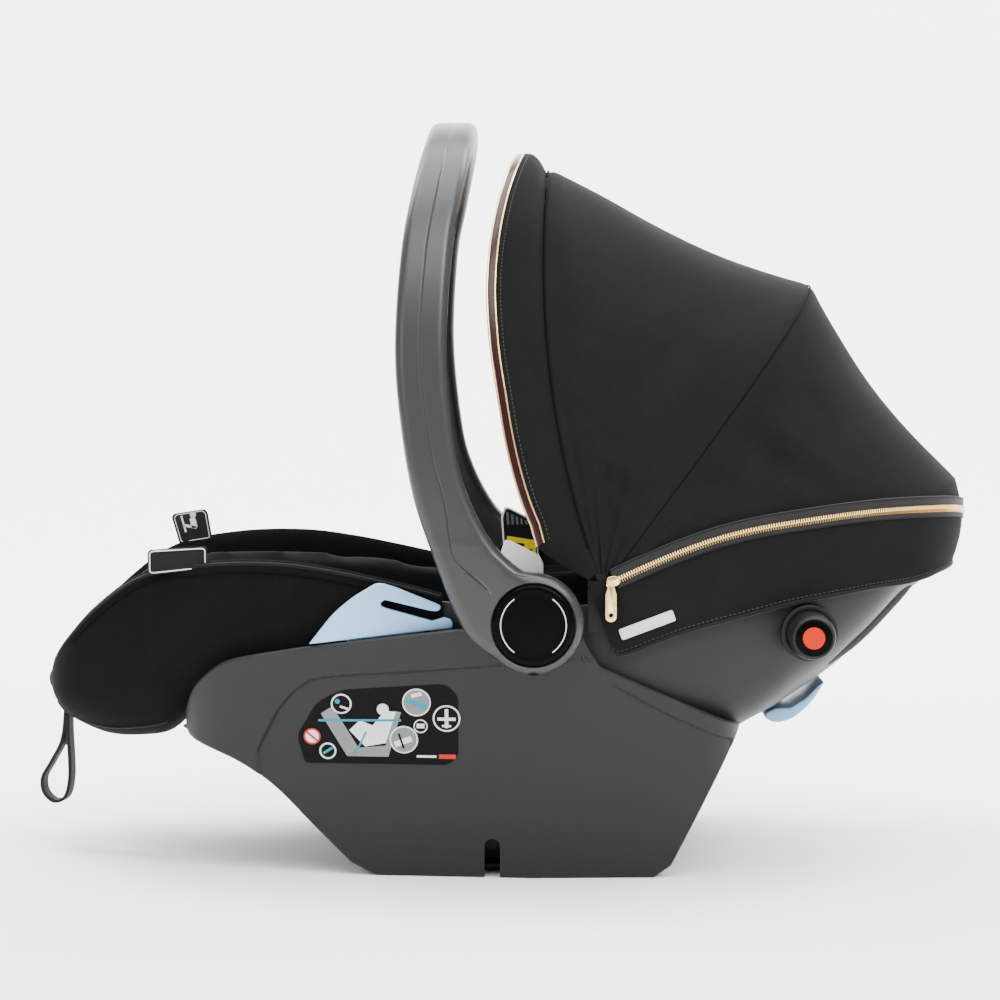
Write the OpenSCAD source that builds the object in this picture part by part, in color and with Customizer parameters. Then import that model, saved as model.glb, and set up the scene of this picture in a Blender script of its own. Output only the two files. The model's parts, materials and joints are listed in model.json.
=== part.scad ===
// Infant car seat: a rigid carrier shell with a carry handle, a folding canopy, a padded seat,
// a five-point harness, belt guides and side impact pods.
// Frame: +X towards the head end, +Y across the seat, +Z up, origin on the floor under the middle.

/* [Handle] */
// Height of the top of the carry handle
top_z = 589; // [586:1:592]
// Half of the width over the buttons in the handle hubs
half_width = 220; // [219:0.5:222]
// Position of the handle axis along the seat
hub_x = 25; // [24:0.5:26]
// Height of the handle axis
hub_z = 206; // [205:0.5:207]
// Outer radius of the handle hub
hub_r = 38; // [37:0.5:39]
// Thickness of the handle's legs
leg_t = 25; // [24:0.5:25.5]
// Thickness of the handle's crossbar
crossbar_t = 19; // [18:0.5:19]
// Radius of the round button in the hub
button_r = 31; // [30:0.5:31.5]
// Radius of the axle that the handle turns on
axle_r = 9; // [8:0.5:10]

/* [Canopy] */
// Position of the canopy's pivot along the seat
pivot_x = 78; // [77:0.5:79]
// Height of the canopy's pivot
pivot_z = 232; // [231:0.5:233]
// Half of the canopy's width at its pivot
canopy_w = 188; // [187:0.5:188.5]
// Angle of the front bow above the horizontal
front_bow_a = 97; // [96:0.5:98]
// Angle of the middle bow above the horizontal
mid_bow_a = 53; // [52:0.5:54]
// Radius of the canopy's ridge at the front bow
front_bow_r = 320; // [318:1:321]
// Radius of the canopy's ridge at the middle bow
mid_bow_r = 283; // [281:1:285]
// Radius of the canopy at its zip, behind the head
zip_r = 298.5; // [297:0.5:299]

/* [Shells] */
// Half width of the seat shell at the canopy's pivot
shell_w = 174; // [173:0.5:174.5]
// Wall of the seat shell
shell_wall = 3.5; // [3:0.5:4]
// Half width of the lower shell at the handle hub
lower_w = 185; // [184.5:0.5:185.5]
// Wall of the lower shell
lower_wall = 4; // [3.5:0.5:4.5]
// Slope of the lower shell's side walls, as inset per millimetre of height
flare = 0.25; // [0.22:0.01:0.27]

/* [Padding] */
// Thickness of the energy-absorbing foam
foam_t = 11; // [10:1:12]
// Thickness of the seat cushion
cushion_t = 16; // [14:1:17]

/* [Headrest] */
// Half width of the headrest
headrest_w = 90; // [86:1:92]
// Slope of the backrest that the headrest slides along
headrest_a = 33; // [32:1:34]

/* [Side impact pods] */
// Position of the pod along the seat
pod_x = 236.5; // [235:0.5:238]
// Height of the pod's axis
pod_z = 194.8; // [194:0.2:196]
// Radius of the pod's knob
pod_r = 17.6; // [17:0.1:18]

/* [Docking] */
// Position of the docking bar along the seat
bar_x = -6; // [-7:0.5:-5]
// Height of the docking bar's axis
bar_z = 26; // [25:0.5:27]
// Radius of the docking bar
bar_r = 5; // [4.5:0.5:5.5]

/* [Hidden] */
$fn = 64;
arch_p = 2.6;
shell_q = 3.6;
plan_front = -250;
plan_rear = 190;
flare_top = 165;
gap = 0.8;
foam_in = shell_wall + gap + foam_t;
cushion_out = foam_in + gap;
cushion_in = cushion_out + cushion_t;
headrest_at = [172, 0, 146];

// ---- shared functions ----

function bulge(t, n) = pow(max(0, 1 - pow(min(1, abs(t)), n)), 1 / n);

// A Catmull-Rom curve through the given points, with n steps between two of them
function spline(p, n) = concat(
  [for (i = [0:len(p) - 2], k = [0:n - 1])
    let (a = p[max(i - 1, 0)], b = p[i], c = p[i + 1], d = p[min(i + 2, len(p) - 1)], t = k / n)
    0.5 * (2 * b + (c - a) * t + (2 * a - 5 * b + 4 * c - d) * t * t + (3 * b - a - 3 * c + d) * t * t * t)],
  [p[len(p) - 1]]);

function reversed(p) = [for (i = [len(p) - 1:-1:0]) p[i]];

// Stations along X at which every shell, liner and cushion has a cross-section
shell_x = concat([-352, -350, -345, -340, -332, -322, -308, -292], [for (x = [-272:24:280]) x],
  [296, 308, 320, 331, 341, 348, 353, 358, 360]);
cover_x = [for (k = [0:22]) -203 - cos(180 * k / 22) * 159];

// Half widths of the seat shell, of the fabric cover round its foot end, and of the lower shell
function shell_hw(x) = x > pivot_x
  ? shell_w * bulge((x - pivot_x) / (358 - pivot_x), 2.8)
  : (shell_w - 0.1 * (pivot_x - x)) * bulge((pivot_x - x) / (pivot_x + 352), 5);
function cover_hw(x) = (176 - 0.09 * (pivot_x - x)) * bulge((pivot_x - x) / (pivot_x + 363), 5);
function lower_hw(x) = x > hub_x
  ? (lower_w - 0.03 * (x - hub_x)) * bulge((x - hub_x) / (plan_rear - hub_x), 8)
  : (lower_w - 0.11 * (hub_x - x)) * bulge((hub_x - x) / (hub_x - plan_front), 10);

// Underside and rim of the seat shell, and of the cover round its foot end
floor_line = spline([[-350, 152], [-330, 125], [-300, 113], [-250, 125], [-200, 112], [-120, 76], [-40, 54],
  [40, 48], [110, 66], [160, 90], [190, 109], [221, 121], [274, 149], [316, 188], [347, 221], [358, 236]], 4);
rim_line = spline([[-350, 166], [-330, 190], [-300, 218], [-276, 229], [-224, 234], [-124, 231], [-44, 218],
  [25, 215], [78, 218], [120, 236], [200, 256], [300, 260], [358, 254]], 4);
cover_floor_line = spline([[-362, 143], [-355, 130], [-340, 117], [-308, 102], [-267, 104], [-247, 119], [-235, 120],
  [-200, 105], [-120, 69], [-44, 47]], 4);
cover_rim_line = spline([[-362, 149], [-355, 159], [-340, 182], [-314, 211], [-276, 234], [-224, 240], [-124, 237],
  [-44, 224]], 4);
function shell_floor(x) = lookup(x, floor_line);
function shell_rim(x) = lookup(x, rim_line);

// Height of the seat cushion's top surface
function seat_top(x, y) =
  let (z0 = shell_floor(x) + cushion_in, z1 = shell_rim(x), s = min(1, abs(y) / (shell_hw(x) - cushion_in)))
  z1 - (z1 - z0) * pow(1 - pow(s, shell_q), 1 / shell_q);

// Outline of the lower shell seen from the side
lower_front = spline([[-116, 9.4], [-145, 39], [-174, 69.5], [-202, 90], [-238, 106]], 4);
lower_nose = spline([[-245, 113], [-246, 125], [-238, 148], [-220.5, 166], [-200, 175]], 4);
lower_outline = concat([[-97, 0], [120, 0], [133, 9.4], [183, 112], [186, 121], [76, 170], [62, 200]],
  [[-34, 197], [-145.5, 185]], reversed(lower_nose), reversed(lower_front));
lower_cavity = concat([[-97, lower_wall], [118, lower_wall], [129, 12], [178, 112], [181, 230], [-300, 230], [-300, 116],
  [-240, 114]], reversed([for (p = lower_front) if (p[0] > -210) p + [3, 4]]));

// ---- canopy surface: angle a about the pivot, arch angle t from 0 at the side to 90 at the ridge ----

function arch_y(w, t) = w * pow(max(0, cos(t)), 2 / arch_p);
function arch_s(t) = pow(max(0, sin(t)), 2 / arch_p);
function canopy_point(r, w, a, t, side) =
  let (s = arch_s(t) * r) [pivot_x + s * cos(a), side * arch_y(w, t), pivot_z + s * sin(a)];

// Angles of the zip, of the visor's front edge and of its seam, which bow up or forwards at the sides
function zip_angle(t) = lookup(arch_s(t), [[0, 26], [0.27, 23.2], [0.53, 17.7], [0.79, 13.4], [0.95, 10.6], [1, 8.8]]);
function edge_angle(t) = lookup(arch_s(t), [[0, 152], [0.16, 148], [0.48, 120], [0.71, 111.4], [0.9, 104.6], [1, 101]]);
function seam_angle(t) = lookup(arch_s(t), [[0, 112], [0.1, 110], [0.7, 101.3], [1, front_bow_a]]);

// Ridge radius between two bows, with the cloth's sag
function sagged(r0, r1, sag, u) = r0 + (r1 - r0) * u - 4 * sag * u * (1 - u);

// Angles round the arch, from one side over the ridge to the other
arch_start = 0.7;
arch_steps = 30;
function arch_t(j) = 90 - abs(2 * j / arch_steps - 1) * (90 - arch_start);
function arch_side(j) = j < arch_steps / 2 ? -1 : 1;

// ---- shared solids ----

// An outline in X and Z, extruded along Y from y0 to y1
module side_prism(outline, y0, y1) {
  translate([0, y1, 0]) rotate([90, 0, 0]) linear_extrude(y1 - y0) polygon(outline);
}

// A cylinder along Y
module rod(x, z, y0, y1, r) {
  translate([x, y0, z]) rotate([-90, 0, 0]) cylinder(h = y1 - y0, r = r);
}

module both_sides() {
  children();
  mirror([0, 1, 0]) children();
}

function quad(a, b, c, d) = [[a, b, c], [a, c, d]];

// A closed sheet between two grids of points with the same number of rows and columns
module sheet_solid(outer, inner) {
  rows = len(outer);
  cols = len(outer[0]);
  function o(i, j) = i * cols + j;
  function n(i, j) = rows * cols + i * cols + j;
  faces = concat(
    [for (i = [0:rows - 2], j = [0:cols - 2], f = quad(o(i, j), o(i, j + 1), o(i + 1, j + 1), o(i + 1, j))) f],
    [for (i = [0:rows - 2], j = [0:cols - 2], f = quad(n(i, j), n(i + 1, j), n(i + 1, j + 1), n(i, j + 1))) f],
    [for (j = [0:cols - 2], f = quad(o(0, j), n(0, j), n(0, j + 1), o(0, j + 1))) f],
    [for (j = [0:cols - 2], f = quad(o(rows - 1, j), o(rows - 1, j + 1), n(rows - 1, j + 1), n(rows - 1, j))) f],
    [for (i = [0:rows - 2], f = quad(o(i, 0), o(i + 1, 0), n(i + 1, 0), n(i, 0))) f],
    [for (i = [0:rows - 2], f = quad(o(i, cols - 1), n(i, cols - 1), n(i + 1, cols - 1), o(i + 1, cols - 1))) f]);
  polyhedron(concat([for (r = outer, p = r) p], [for (r = inner, p = r) p]), faces);
}

// One cross-section of a tub: a U from one rim to the other, closed rise above the rim; q squares its corners
function tub_row(x, hw, z0, z1, q, m, rise) = concat([[x, -hw, z1 + rise]],
  [for (j = [0:m]) let (a = -90 + 180 * j / m)
    [x, hw * sign(a) * pow(abs(sin(a)), 2 / q), z1 - (z1 - z0) * pow(max(0, cos(a)), 2 / q)]],
  [[x, hw, z1 + rise]]);

// A solid through a stack of closed cross-sections
module tub_block(rows) {
  count = len(rows[0]);
  last = len(rows) - 1;
  faces = concat([[for (j = [0:count - 1]) j]], [[for (j = [count - 1:-1:0]) last * count + j]],
    [for (i = [0:last - 1], j = [0:count - 1],
      f = quad(i * count + j, (i + 1) * count + j, (i + 1) * count + (j + 1) % count, i * count + (j + 1) % count)) f]);
  polyhedron([for (r = rows, p = r) p], faces);
}

// The seat shell's surface at the stations from x0 to x1, as a solid moved inwards by inset
module shell_block(x0, x1, inset, rise) {
  tub_block([for (x = shell_x) if (x >= x0 && x <= x1)
    tub_row(x, max(6, shell_hw(x) - inset), min(shell_floor(x) + inset, shell_rim(x) - 2), shell_rim(x),
      shell_q, 18, rise)]);
}

// A flat strap along points of X, Z and the two Y edges
module ribbon(path, thick) {
  function side(n) = [for (i = [0:len(path) - 1])
    let (a = path[max(i - 1, 0)], b = path[min(i + 1, len(path) - 1)], d = [b[0] - a[0], b[1] - a[1]],
      o = [-d[1], d[0]] / norm(d) * n)
    [[path[i][0] + o[0], path[i][2], path[i][1] + o[1]], [path[i][0] + o[0], path[i][3], path[i][1] + o[1]]]];
  sheet_solid(side(thick / 2), side(-thick / 2));
}

// ---- base ----

// The lower shell's side walls as a solid, grown outwards by grow
module lower_hopper(grow) {
  steps = 20;
  function x_at(i) = (plan_front + plan_rear) / 2 - cos(180 * i / steps) * ((plan_rear - plan_front) / 2 + grow);
  function hw_at(i, z) = let (x = (plan_front + plan_rear) / 2 - cos(180 * i / steps) * (plan_rear - plan_front) / 2)
    max(6, lower_hw(x) + grow - flare * (flare_top - z));
  function ring(z) = concat([for (i = [0:steps]) [x_at(i), -hw_at(i, z), z]],
    [for (i = [steps:-1:0]) [x_at(i), hw_at(i, z), z]]);
  tub_block([ring(-5), ring(215)]);
}

module lower_shell() {
  color("#48494b")
  difference() {
    intersection() {
      lower_hopper(0);
      side_prism(lower_outline, -200, 200);
    }
    intersection() {
      lower_hopper(-lower_wall);
      side_prism(lower_cavity, -200, 200);
    }
    shell_block(-350, 358, -1, 60);
    cover_block(0.6, 60);
    translate([-78, -105, -1]) cube([50, 210, 20]);
    translate([20, -105, -1]) cube([58, 210, 20]);
    translate([lever_x - 30, -36, lever_z - 40]) cube([60, 72, 46]);
    rod(lever_x, lever_z, -42, 42, 2.2);
    for (x = tray_screws_x, y = [-112, 112]) translate([x, y, 1.4]) cylinder(h = 10, r = 2.05);
    both_sides() {
      rod(hub_x, hub_z, 150, 200, 36.5);
      translate([bar_x - 6, 100, -1]) cube([12, 80, bar_z]);
      rod(bar_x, bar_z - 0.5, 100, 180, 6);
    }
  }
}

tray_screws_x = [-86, 88];
latch_x = 90;
latch_z = 32;
lever_x = 163;
lever_z = 78;

// Tray on the floor of the lower shell that holds the docking bar and the latch
module docking_tray() {
  base_z = lower_wall + 0.3;
  color("#3c3d3f")
  difference() {
    union() {
      translate([-95, -120, base_z]) cube([197, 240, 3]);
      for (y = [-100, 92]) translate([bar_x - 12, y, base_z + 3]) cube([24, 8, 32]);
      for (y = [-60, 52]) translate([latch_x - 10, y, base_z + 3]) cube([20, 8, 33]);
    }
    translate([-78, -88, 0]) cube([50, 176, 20]);
    translate([20, -88, 0]) cube([56, 176, 20]);
    rod(bar_x, bar_z, -110, 110, bar_r + 0.05);
    rod(latch_x, latch_z, -70, 70, 4.05);
    for (x = tray_screws_x, y = [-112, 112]) translate([x, y, 0]) cylinder(h = 10, r = 2.05);
  }
}

module docking_bar() {
  color("silver") rod(bar_x, bar_z, -132, 132, bar_r);
}

module latch_rod() {
  color("silver") rod(latch_x, latch_z, -64, 64, 4);
}

// Two hooks on one sleeve that turns on the latch rod
module latch_hook() {
  hook = [[84, 24], [96, 24], [99, 32], [96, 42], [84, 42], [80, 34], [64, 20], [62, 12], [70, 12], [74, 18]];
  color("gray")
  difference() {
    union() {
      for (y = [-48, 40]) side_prism(hook, y, y + 8);
      rod(latch_x, latch_z, -48, 48, 8);
    }
    rod(latch_x, latch_z, -60, 60, 4.06);
  }
}

// Flap in the rear wall, turning on its own pins, that frees the seat from its base
module release_lever() {
  color("#2c2d2f") {
    side_prism([[lever_x - 3, lever_z - 3], [lever_x + 2.5, lever_z - 3], [lever_x - 14.5, lever_z - 36],
      [lever_x - 19.5, lever_z - 36]], -34.5, 34.5);
    rod(lever_x, lever_z, -34.5, 34.5, 4);
    rod(lever_x, lever_z, -40, 40, 2);
  }
}

// Screws that hold the tray to the lower shell
module shell_screws() {
  color("silver")
  for (x = tray_screws_x, y = [-112, 112])
    translate([x, y, 0]) {
      translate([0, 0, lower_wall + 3.4]) cylinder(h = 3, r = 5);
      translate([0, 0, 1.6]) cylinder(h = 6, r = 2);
    }
}

// ---- seat ----

module seat_shell() {
  color("#46474a")
  difference() {
    shell_block(-350, 358, 0, 0);
    shell_block(-345, 353, shell_wall, 30);
    both_sides() rod(pod_x, pod_z, 120, 180, pod_r + 0.4);
  }
}

// Energy-absorbing foam between the seat shell and the cushion
module foam_liner() {
  color("whitesmoke")
  difference() {
    shell_block(40, 348, shell_wall + gap, 0);
    shell_block(16, 341, foam_in, 30);
    both_sides() rod(pod_x, pod_z, 120, 180, pod_r + 2);
  }
}

// Padded lining of the whole seat
module seat_cushion() {
  color("#1b1b1d")
  difference() {
    shell_block(-340, 331, cushion_out, 0);
    shell_block(-322, 320, cushion_in, 30);
  }
}

// The padded cover's outside as a solid, grown by grow
module cover_block(grow, rise) {
  tub_block([for (x = concat([cover_x[0] - grow], [for (k = [1:22]) cover_x[k]]))
    tub_row(x, max(8, cover_hw(x) + grow), lookup(x, cover_floor_line) - grow,
      max(lookup(x, cover_rim_line), lookup(x, cover_floor_line) + 3), shell_q, 20, rise)]);
}

// Padded fabric round the outside of the foot end
module leg_cover() {
  color("#151517")
  difference() {
    cover_block(0, 0);
    shell_block(-352, 0, -0.6, 60);
    translate([-357, -8.5, 90]) cube([7, 17, 44]);
  }
}

// ---- belt guides ----

module belt_guide() {
  plate = concat([[-146, 186.5]], spline([[-140, 194], [-128, 209], [-114, 221], [-103, 228], [-92.8, 233],
    [-80, 230]], 3), [[-50, 218], [-45.6, 216], [-45, 213.5], [-48, 211.5], [-53, 212], [-88, 220.5], [-91.3, 218],
    [-90.5, 215.5], [-87, 214], [-51.7, 204.3], [-43, 207], [-38, 205.5], [-35.7, 202], [-36.5, 198.5]]);
  color("#a9c6e0")
  union() {
    side_prism(plate, -172, -166);
    side_prism([[-122, 172], [-58, 180], [-58, 203], [-112, 206]], -166, -163);
  }
}

module belt_guide_left() { belt_guide(); }
module belt_guide_right() { mirror([0, 1, 0]) belt_guide(); }

// Guide for the shoulder belt behind the backrest
module rear_belt_guide() {
  guide = concat(spline([[213, 112], [222, 108], [236, 112], [250, 124], [258, 136], [261, 141]], 3),
    [[255, 137], [246, 127.5], [234, 120], [222, 119.5], [214, 116]]);
  color("#a9c6e0") side_prism(guide, -45, 45);
}

// ---- handle ----

// Round housing on the seat that carries the handle's axle
module hub_housing() {
  color("#2e2f31")
  union() {
    rod(hub_x, hub_z, -190, -172.9, 35.5);
    rod(hub_x, hub_z, -206, -190, axle_r);
  }
}

module hub_housing_left() { hub_housing(); }
module hub_housing_right() { mirror([0, 1, 0]) hub_housing(); }

handle_left = spline([[7, 173], [-4, 181], [-16, 189], [-24, 197], [-33, 213], [-45, 243], [-64, 297], [-74, 350],
  [-79, 411], [-75, 482],
  [-67, 530], [-57, 572], [-52, top_z]], 4);
handle_right = spline([[-17, top_z], [-19, 572], [-29, 524], [-36, 486], [-40, 411], [-33, 337], [-23, 300],
  [-6, 268], [14, 248], [36, 236]], 4);
handle_split = spline([[-34.5, 600], [-36, 580], [-48, 524], [-56, 482], [-60, 408], [-52, 337], [-42, 300],
  [-35, 258], [-17, 240], [-3, 227]], 4);

// Edge of the handle's hoop seen from the front
function hoop_edge(w, r) = [for (k = [0:40]) let (t = 90 * (1 - cos(4.5 * k)), c = cos(t))
  [sign(c) * pow(abs(c), 2 / 3.1) * w, hub_z + r * pow(max(0, sin(t)), 2 / 3.1)]];

module hoop_slab() {
  hoop_w = half_width - 2;
  hoop_r = top_z - hub_z;
  rotate([90, 0, 90]) linear_extrude(400, center = true)
    polygon(concat([[hoop_w, 150]], hoop_edge(hoop_w, hoop_r), [[-hoop_w, 150]], [[leg_t - hoop_w, 150]],
      reversed(hoop_edge(hoop_w - leg_t, hoop_r - crossbar_t)), [[hoop_w - leg_t, 150]]));
}

// The hoop cut to a side outline, with the sockets for the axle and the button
module handle_blank(outline) {
  difference() {
    intersection() {
      union() {
        side_prism(outline, -230, 230);
        children();
      }
      hoop_slab();
    }
    both_sides() {
      rod(hub_x, hub_z, 207, 230, button_r + 0.4);
      rod(hub_x, hub_z, 180, 210, axle_r + 0.05);
    }
  }
}

// The front half of the moulded handle, up to the parting line along its sides
module handle_front() {
  color("#55575a")
  difference() {
    handle_blank(concat(handle_left, [for (p = handle_split) p - [0.15, 0]]));
    rod(hub_x, hub_z, -231, 231, hub_r + 0.15);
  }
}

// The rear half, with the two hubs
module handle_rear() {
  color("#505255")
  handle_blank(concat(handle_right, reversed([for (p = handle_split) p + [0.15, 0]])))
    rod(hub_x, hub_z, -230, 230, hub_r);
}

// Round button in the hub that unlocks the handle
module handle_button() {
  color("#0c0c0d")
  difference() {
    rod(hub_x, hub_z, -half_width, -213, button_r);
    rod(hub_x, hub_z, -214.5, -200, button_r - 3);
  }
}

module handle_button_left() { handle_button(); }
module handle_button_right() { mirror([0, 1, 0]) handle_button(); }

// Wave spring behind the button
module button_spring() {
  color("silver")
  for (k = [0:2])
    translate([hub_x, -207.8 - 2.2 * k, hub_z]) rotate([90, 0, 0])
      rotate_extrude() translate([20 - 1.2 * k, 0]) square([3, 1.2]);
}

module button_spring_left() { button_spring(); }
module button_spring_right() { mirror([0, 1, 0]) button_spring(); }

// ---- labels on the lower shell ----

module side_label() {
  color("#161617")
  intersection() {
    difference() {
      lower_hopper(1);
      lower_hopper(0.1);
    }
    side_prism([[-146, 90], [-40, 90], [-34, 94], [-32, 100], [-32, 148], [-35, 154], [-42, 156], [-150, 152],
      [-166, 148], [-170, 140], [-163, 118], [-154, 94]], -210, -100);
  }
}

module label_left() { side_label(); }
module label_right() { mirror([0, 1, 0]) side_label(); }

// ---- canopy ----

// Plate on the seat shell with the pin that the canopy's bows turn on
module canopy_pivot() {
  color("#1a1a1b")
  union() {
    side_prism([[pivot_x - 11, 196], [pivot_x + 13, 196], [pivot_x + 13, 238], [pivot_x + 9, 244],
      [pivot_x - 7, 244], [pivot_x - 11, 238]], -176.6, -174.3);
    rod(pivot_x, pivot_z, -184.8, -176.6, 4);
  }
}

module canopy_pivot_left() { canopy_pivot(); }
module canopy_pivot_right() { mirror([0, 1, 0]) canopy_pivot(); }

// A flat hoop in the plane at angle a about the pivot, with an eye at each end
module bow(w, r, a, width) {
  function arch(w, r) = [for (k = [0:40]) let (t = 4.5 * k)
    [arch_y(w, min(t, 180 - t)) * (t > 90 ? -1 : 1), r * arch_s(t)]];
  translate([pivot_x, 0, pivot_z]) rotate([0, 90 - a, 0])
  difference() {
    union() {
      rotate([90, 0, 90]) linear_extrude(width, center = true)
        polygon(concat(arch(w, r), reversed(arch(w - 3, r - 3))));
      both_sides() rotate([90, 0, 0]) translate([0, 0, w - 3]) cylinder(h = 3, r = width * 0.75);
    }
    rotate([90, 0, 0]) cylinder(h = 400, r = 4.05, center = true);
  }
}

module canopy_front_bow() {
  color("#202022") bow(183.6, front_bow_r - 4, front_bow_a, 8);
}

module canopy_mid_bow() {
  color("#202022") bow(180, mid_bow_r - 4, mid_bow_a, 8);
}

visor_rise = 18;

// Stiff peak in front of the front bow, from its gold edge to its seam
module canopy_visor() {
  function rows(drop) = [for (u = [0, 0.2, 0.45, 0.7, 0.88, 1])
    [for (j = [0:arch_steps])
      let (t = arch_t(j), a = edge_angle(t) + (seam_angle(t) + 0.4 - edge_angle(t)) * u,
        r = front_bow_r + visor_rise * (1 - pow(u, 4)) - drop)
      canopy_point(r, canopy_w - drop, a, t, arch_side(j))]];
  color("#141416") sheet_solid(rows(0), rows(2.6));
}

// Gold binding along the visor's front edge
module visor_trim() {
  function line(drop, back) = [for (j = [0:arch_steps]) let (t = arch_t(j))
    canopy_point(front_bow_r + visor_rise - drop, canopy_w - drop, edge_angle(t) + back, t, arch_side(j))];
  color("#d8b878") sheet_solid([line(0, 1.2), line(0, 0.2)], [line(3.2, 1.2), line(3.2, 0.2)]);
}

// Angle that half of a bow's width, with room to spare, takes up at arch angle t
function bow_half_a(t) = asin(min(0.2, 5.5 / (250 * arch_s(t) + 0.1)));

// Cloth from angle_0 to angle_1, which sags between the edges of the two bows at bow_0 and bow_1
module canopy_panel(r0, r1, sag, angle_0, bow_0, bow_1, angle_1) {
  function rows(drop) = [for (k = [-1:7]) [for (j = [0:arch_steps])
    let (t = arch_t(j), u = min(1, max(0, k / 6)), a0 = bow_0(t), a1 = bow_1(t),
      a = k < 0 ? angle_0(t) : k > 6 ? angle_1(t) : a0 + (a1 - a0) * u)
    canopy_point(sagged(r0, r1, sag, u) - drop, canopy_w - drop, a, t, arch_side(j))]];
  color("#141416") sheet_solid(rows(0), rows(2.4));
}

module canopy_front_panel() {
  canopy_panel(front_bow_r, mid_bow_r, 31, function (t) seam_angle(t), function (t) front_bow_a - bow_half_a(t),
    function (t) mid_bow_a + bow_half_a(t), function (t) mid_bow_a + 0.25);
}

module canopy_rear_panel() {
  canopy_panel(mid_bow_r, zip_r, 27, function (t) mid_bow_a - 0.25, function (t) mid_bow_a - bow_half_a(t),
    function (t) zip_angle(t) + 2.5, function (t) zip_angle(t) + 1.3);
}

function zip_point(t, side, out, up) = canopy_point(zip_r + out, canopy_w + out, zip_angle(t), t, side) + [0, 0, up];
hem_line = spline([[64, 196], [76, 186], [90, 179], [120, 189.5], [144.6, 198], [199, 212], [227, 218.5],
  [255, 223], [289, 228], [315, 230], [334, 233], [346, 236], [376, 240]], 3);

// Fixed lower part of the canopy, from the zip down to the hem round the seat shell
module canopy_skirt() {
  hem_w = shell_w + 5.5;
  hem_r = 286;
  function row(u, drop) = concat([[66 + 20 * u, drop - canopy_w + (canopy_w - hem_w) * u * u, 236 - 54 * u]],
    [for (j = [0:arch_steps]) let (t = arch_t(j), side = arch_side(j), top = zip_point(t, side, -drop, -1.2),
      x1 = pivot_x + (hem_r - drop) * pow(sin(t), 2 / 2.8), y1 = side * (hem_w - drop) * pow(cos(t), 2 / 2.8))
      [top[0] + (x1 - top[0]) * u * u, top[1] + (y1 - top[1]) * u * u, top[2] + (lookup(x1, hem_line) - top[2]) * u]],
    [[66 + 20 * u, canopy_w - drop - (canopy_w - hem_w) * u * u, 236 - 54 * u]]);
  color("#121214") sheet_solid([for (u = [0:0.2:1]) row(u, 0)], [for (u = [0:0.2:1]) row(u, 2.4)]);
}

module zipper_chain() {
  function chain(out, up) = [for (j = [0:arch_steps]) zip_point(max(1.1, arch_t(j)), arch_side(j), out, up)];
  color("#dcbc7c") sheet_solid([chain(1.9, 3), chain(1.9, -3)], [chain(0.3, 3), chain(0.3, -3)]);
}

zip_end = [84, -190.6, 233.5];

// Slider at the lower end of the zip, with the pin that its pull tab turns on
module zip_slider() {
  color("#dcbc7c") {
    translate(zip_end - [4, 0, 2]) cube([10, 1.4, 8]);
    rod(zip_end[0], zip_end[2], zip_end[1] - 1.8, zip_end[1] + 0.4, 0.9);
  }
}

// Pull tab that hangs from the slider
module zip_pull() {
  pull_y = [zip_end[1] - 1.7, zip_end[1] - 0.5];
  tip_z = zip_end[2] - 23.5;
  half = 4.2;
  color("#dcbc7c")
  difference() {
    union() {
      side_prism([[zip_end[0] - half, tip_z], [zip_end[0] + half, tip_z], [zip_end[0] + half, zip_end[2] - 7],
        [zip_end[0] + 2.2, zip_end[2]], [zip_end[0] - 2.2, zip_end[2]], [zip_end[0] - half, zip_end[2] - 7]],
        pull_y[0], pull_y[1]);
      rod(zip_end[0], tip_z, pull_y[0], pull_y[1], half);
      rod(zip_end[0], zip_end[2], pull_y[0], pull_y[1], 2.2);
    }
    rod(zip_end[0], zip_end[2], -195, -187, 1);
    rod(zip_end[0], tip_z + 1, -195, -187, 1.6);
  }
}

module canopy_tag() {
  color("silver")
  translate([111.8, -183.9, 202.6]) rotate([9, 0, 4.5]) rotate([0, -20.6, 0])
    translate([-21.8, -0.4, -4.5]) cube([43.6, 0.8, 9]);
}

// ---- headrest ----

module on_headrest() {
  translate(headrest_at) rotate([0, -headrest_a, 0]) children();
}

module headrest_slots() {
  both_sides() translate([5, 20, -1]) cube([54, 40, 30]);
}

module headrest_shell() {
  color("#303033")
  on_headrest() difference() {
    union() {
      translate([0, -headrest_w, 4]) cube([100, 2 * headrest_w, 3]);
      both_sides() translate([0, headrest_w - 3, 4]) cube([100, 3, 76]);
    }
    headrest_slots();
    translate([69.8, -24, 0]) cube([16.4, 48, 10]);
  }
}

module headrest_pad() {
  color("#1d1d20")
  on_headrest() difference() {
    union() {
      translate([2, 3.5 - headrest_w, 7.4]) cube([96, 2 * headrest_w - 7, 14]);
      both_sides() translate([2, headrest_w - 20, 7.4]) cube([96, 16.5, 70]);
    }
    headrest_slots();
  }
}

// Squeeze lever behind the headrest that unlocks its height
module headrest_lever() {
  color("#8b8d90")
  on_headrest() translate([70, -22, 2]) cube([12, 44, 4.6]);
}

// ---- harness ----

module shoulder_straps() {
  color("#2a2a2c")
  both_sides() ribbon([[217, 175, 28, 52], [210, 187, 28, 52], [203, 195, 28, 52], [192, 192, 28, 52],
    [160, 171, 27, 51], [130, 150, 25, 49], [90, 122, 22, 46], [50, 107, 18, 42], [14, 102, 12, 36],
    [2.6, 101.5, 9, 33]], 1.6);
}

// Padded sleeves on the shoulder straps
module shoulder_pads() {
  color("#202022")
  both_sides() difference() {
    ribbon([[155, 167.5, 21, 57], [130, 150, 19, 55], [90, 122, 16, 52], [66, 112.5, 14, 50]], 10);
    ribbon([[192, 192, 27, 53], [160, 171, 26, 52], [130, 150, 24, 50], [90, 122, 21, 47], [50, 107, 17, 43]], 2.2);
  }
}

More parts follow.
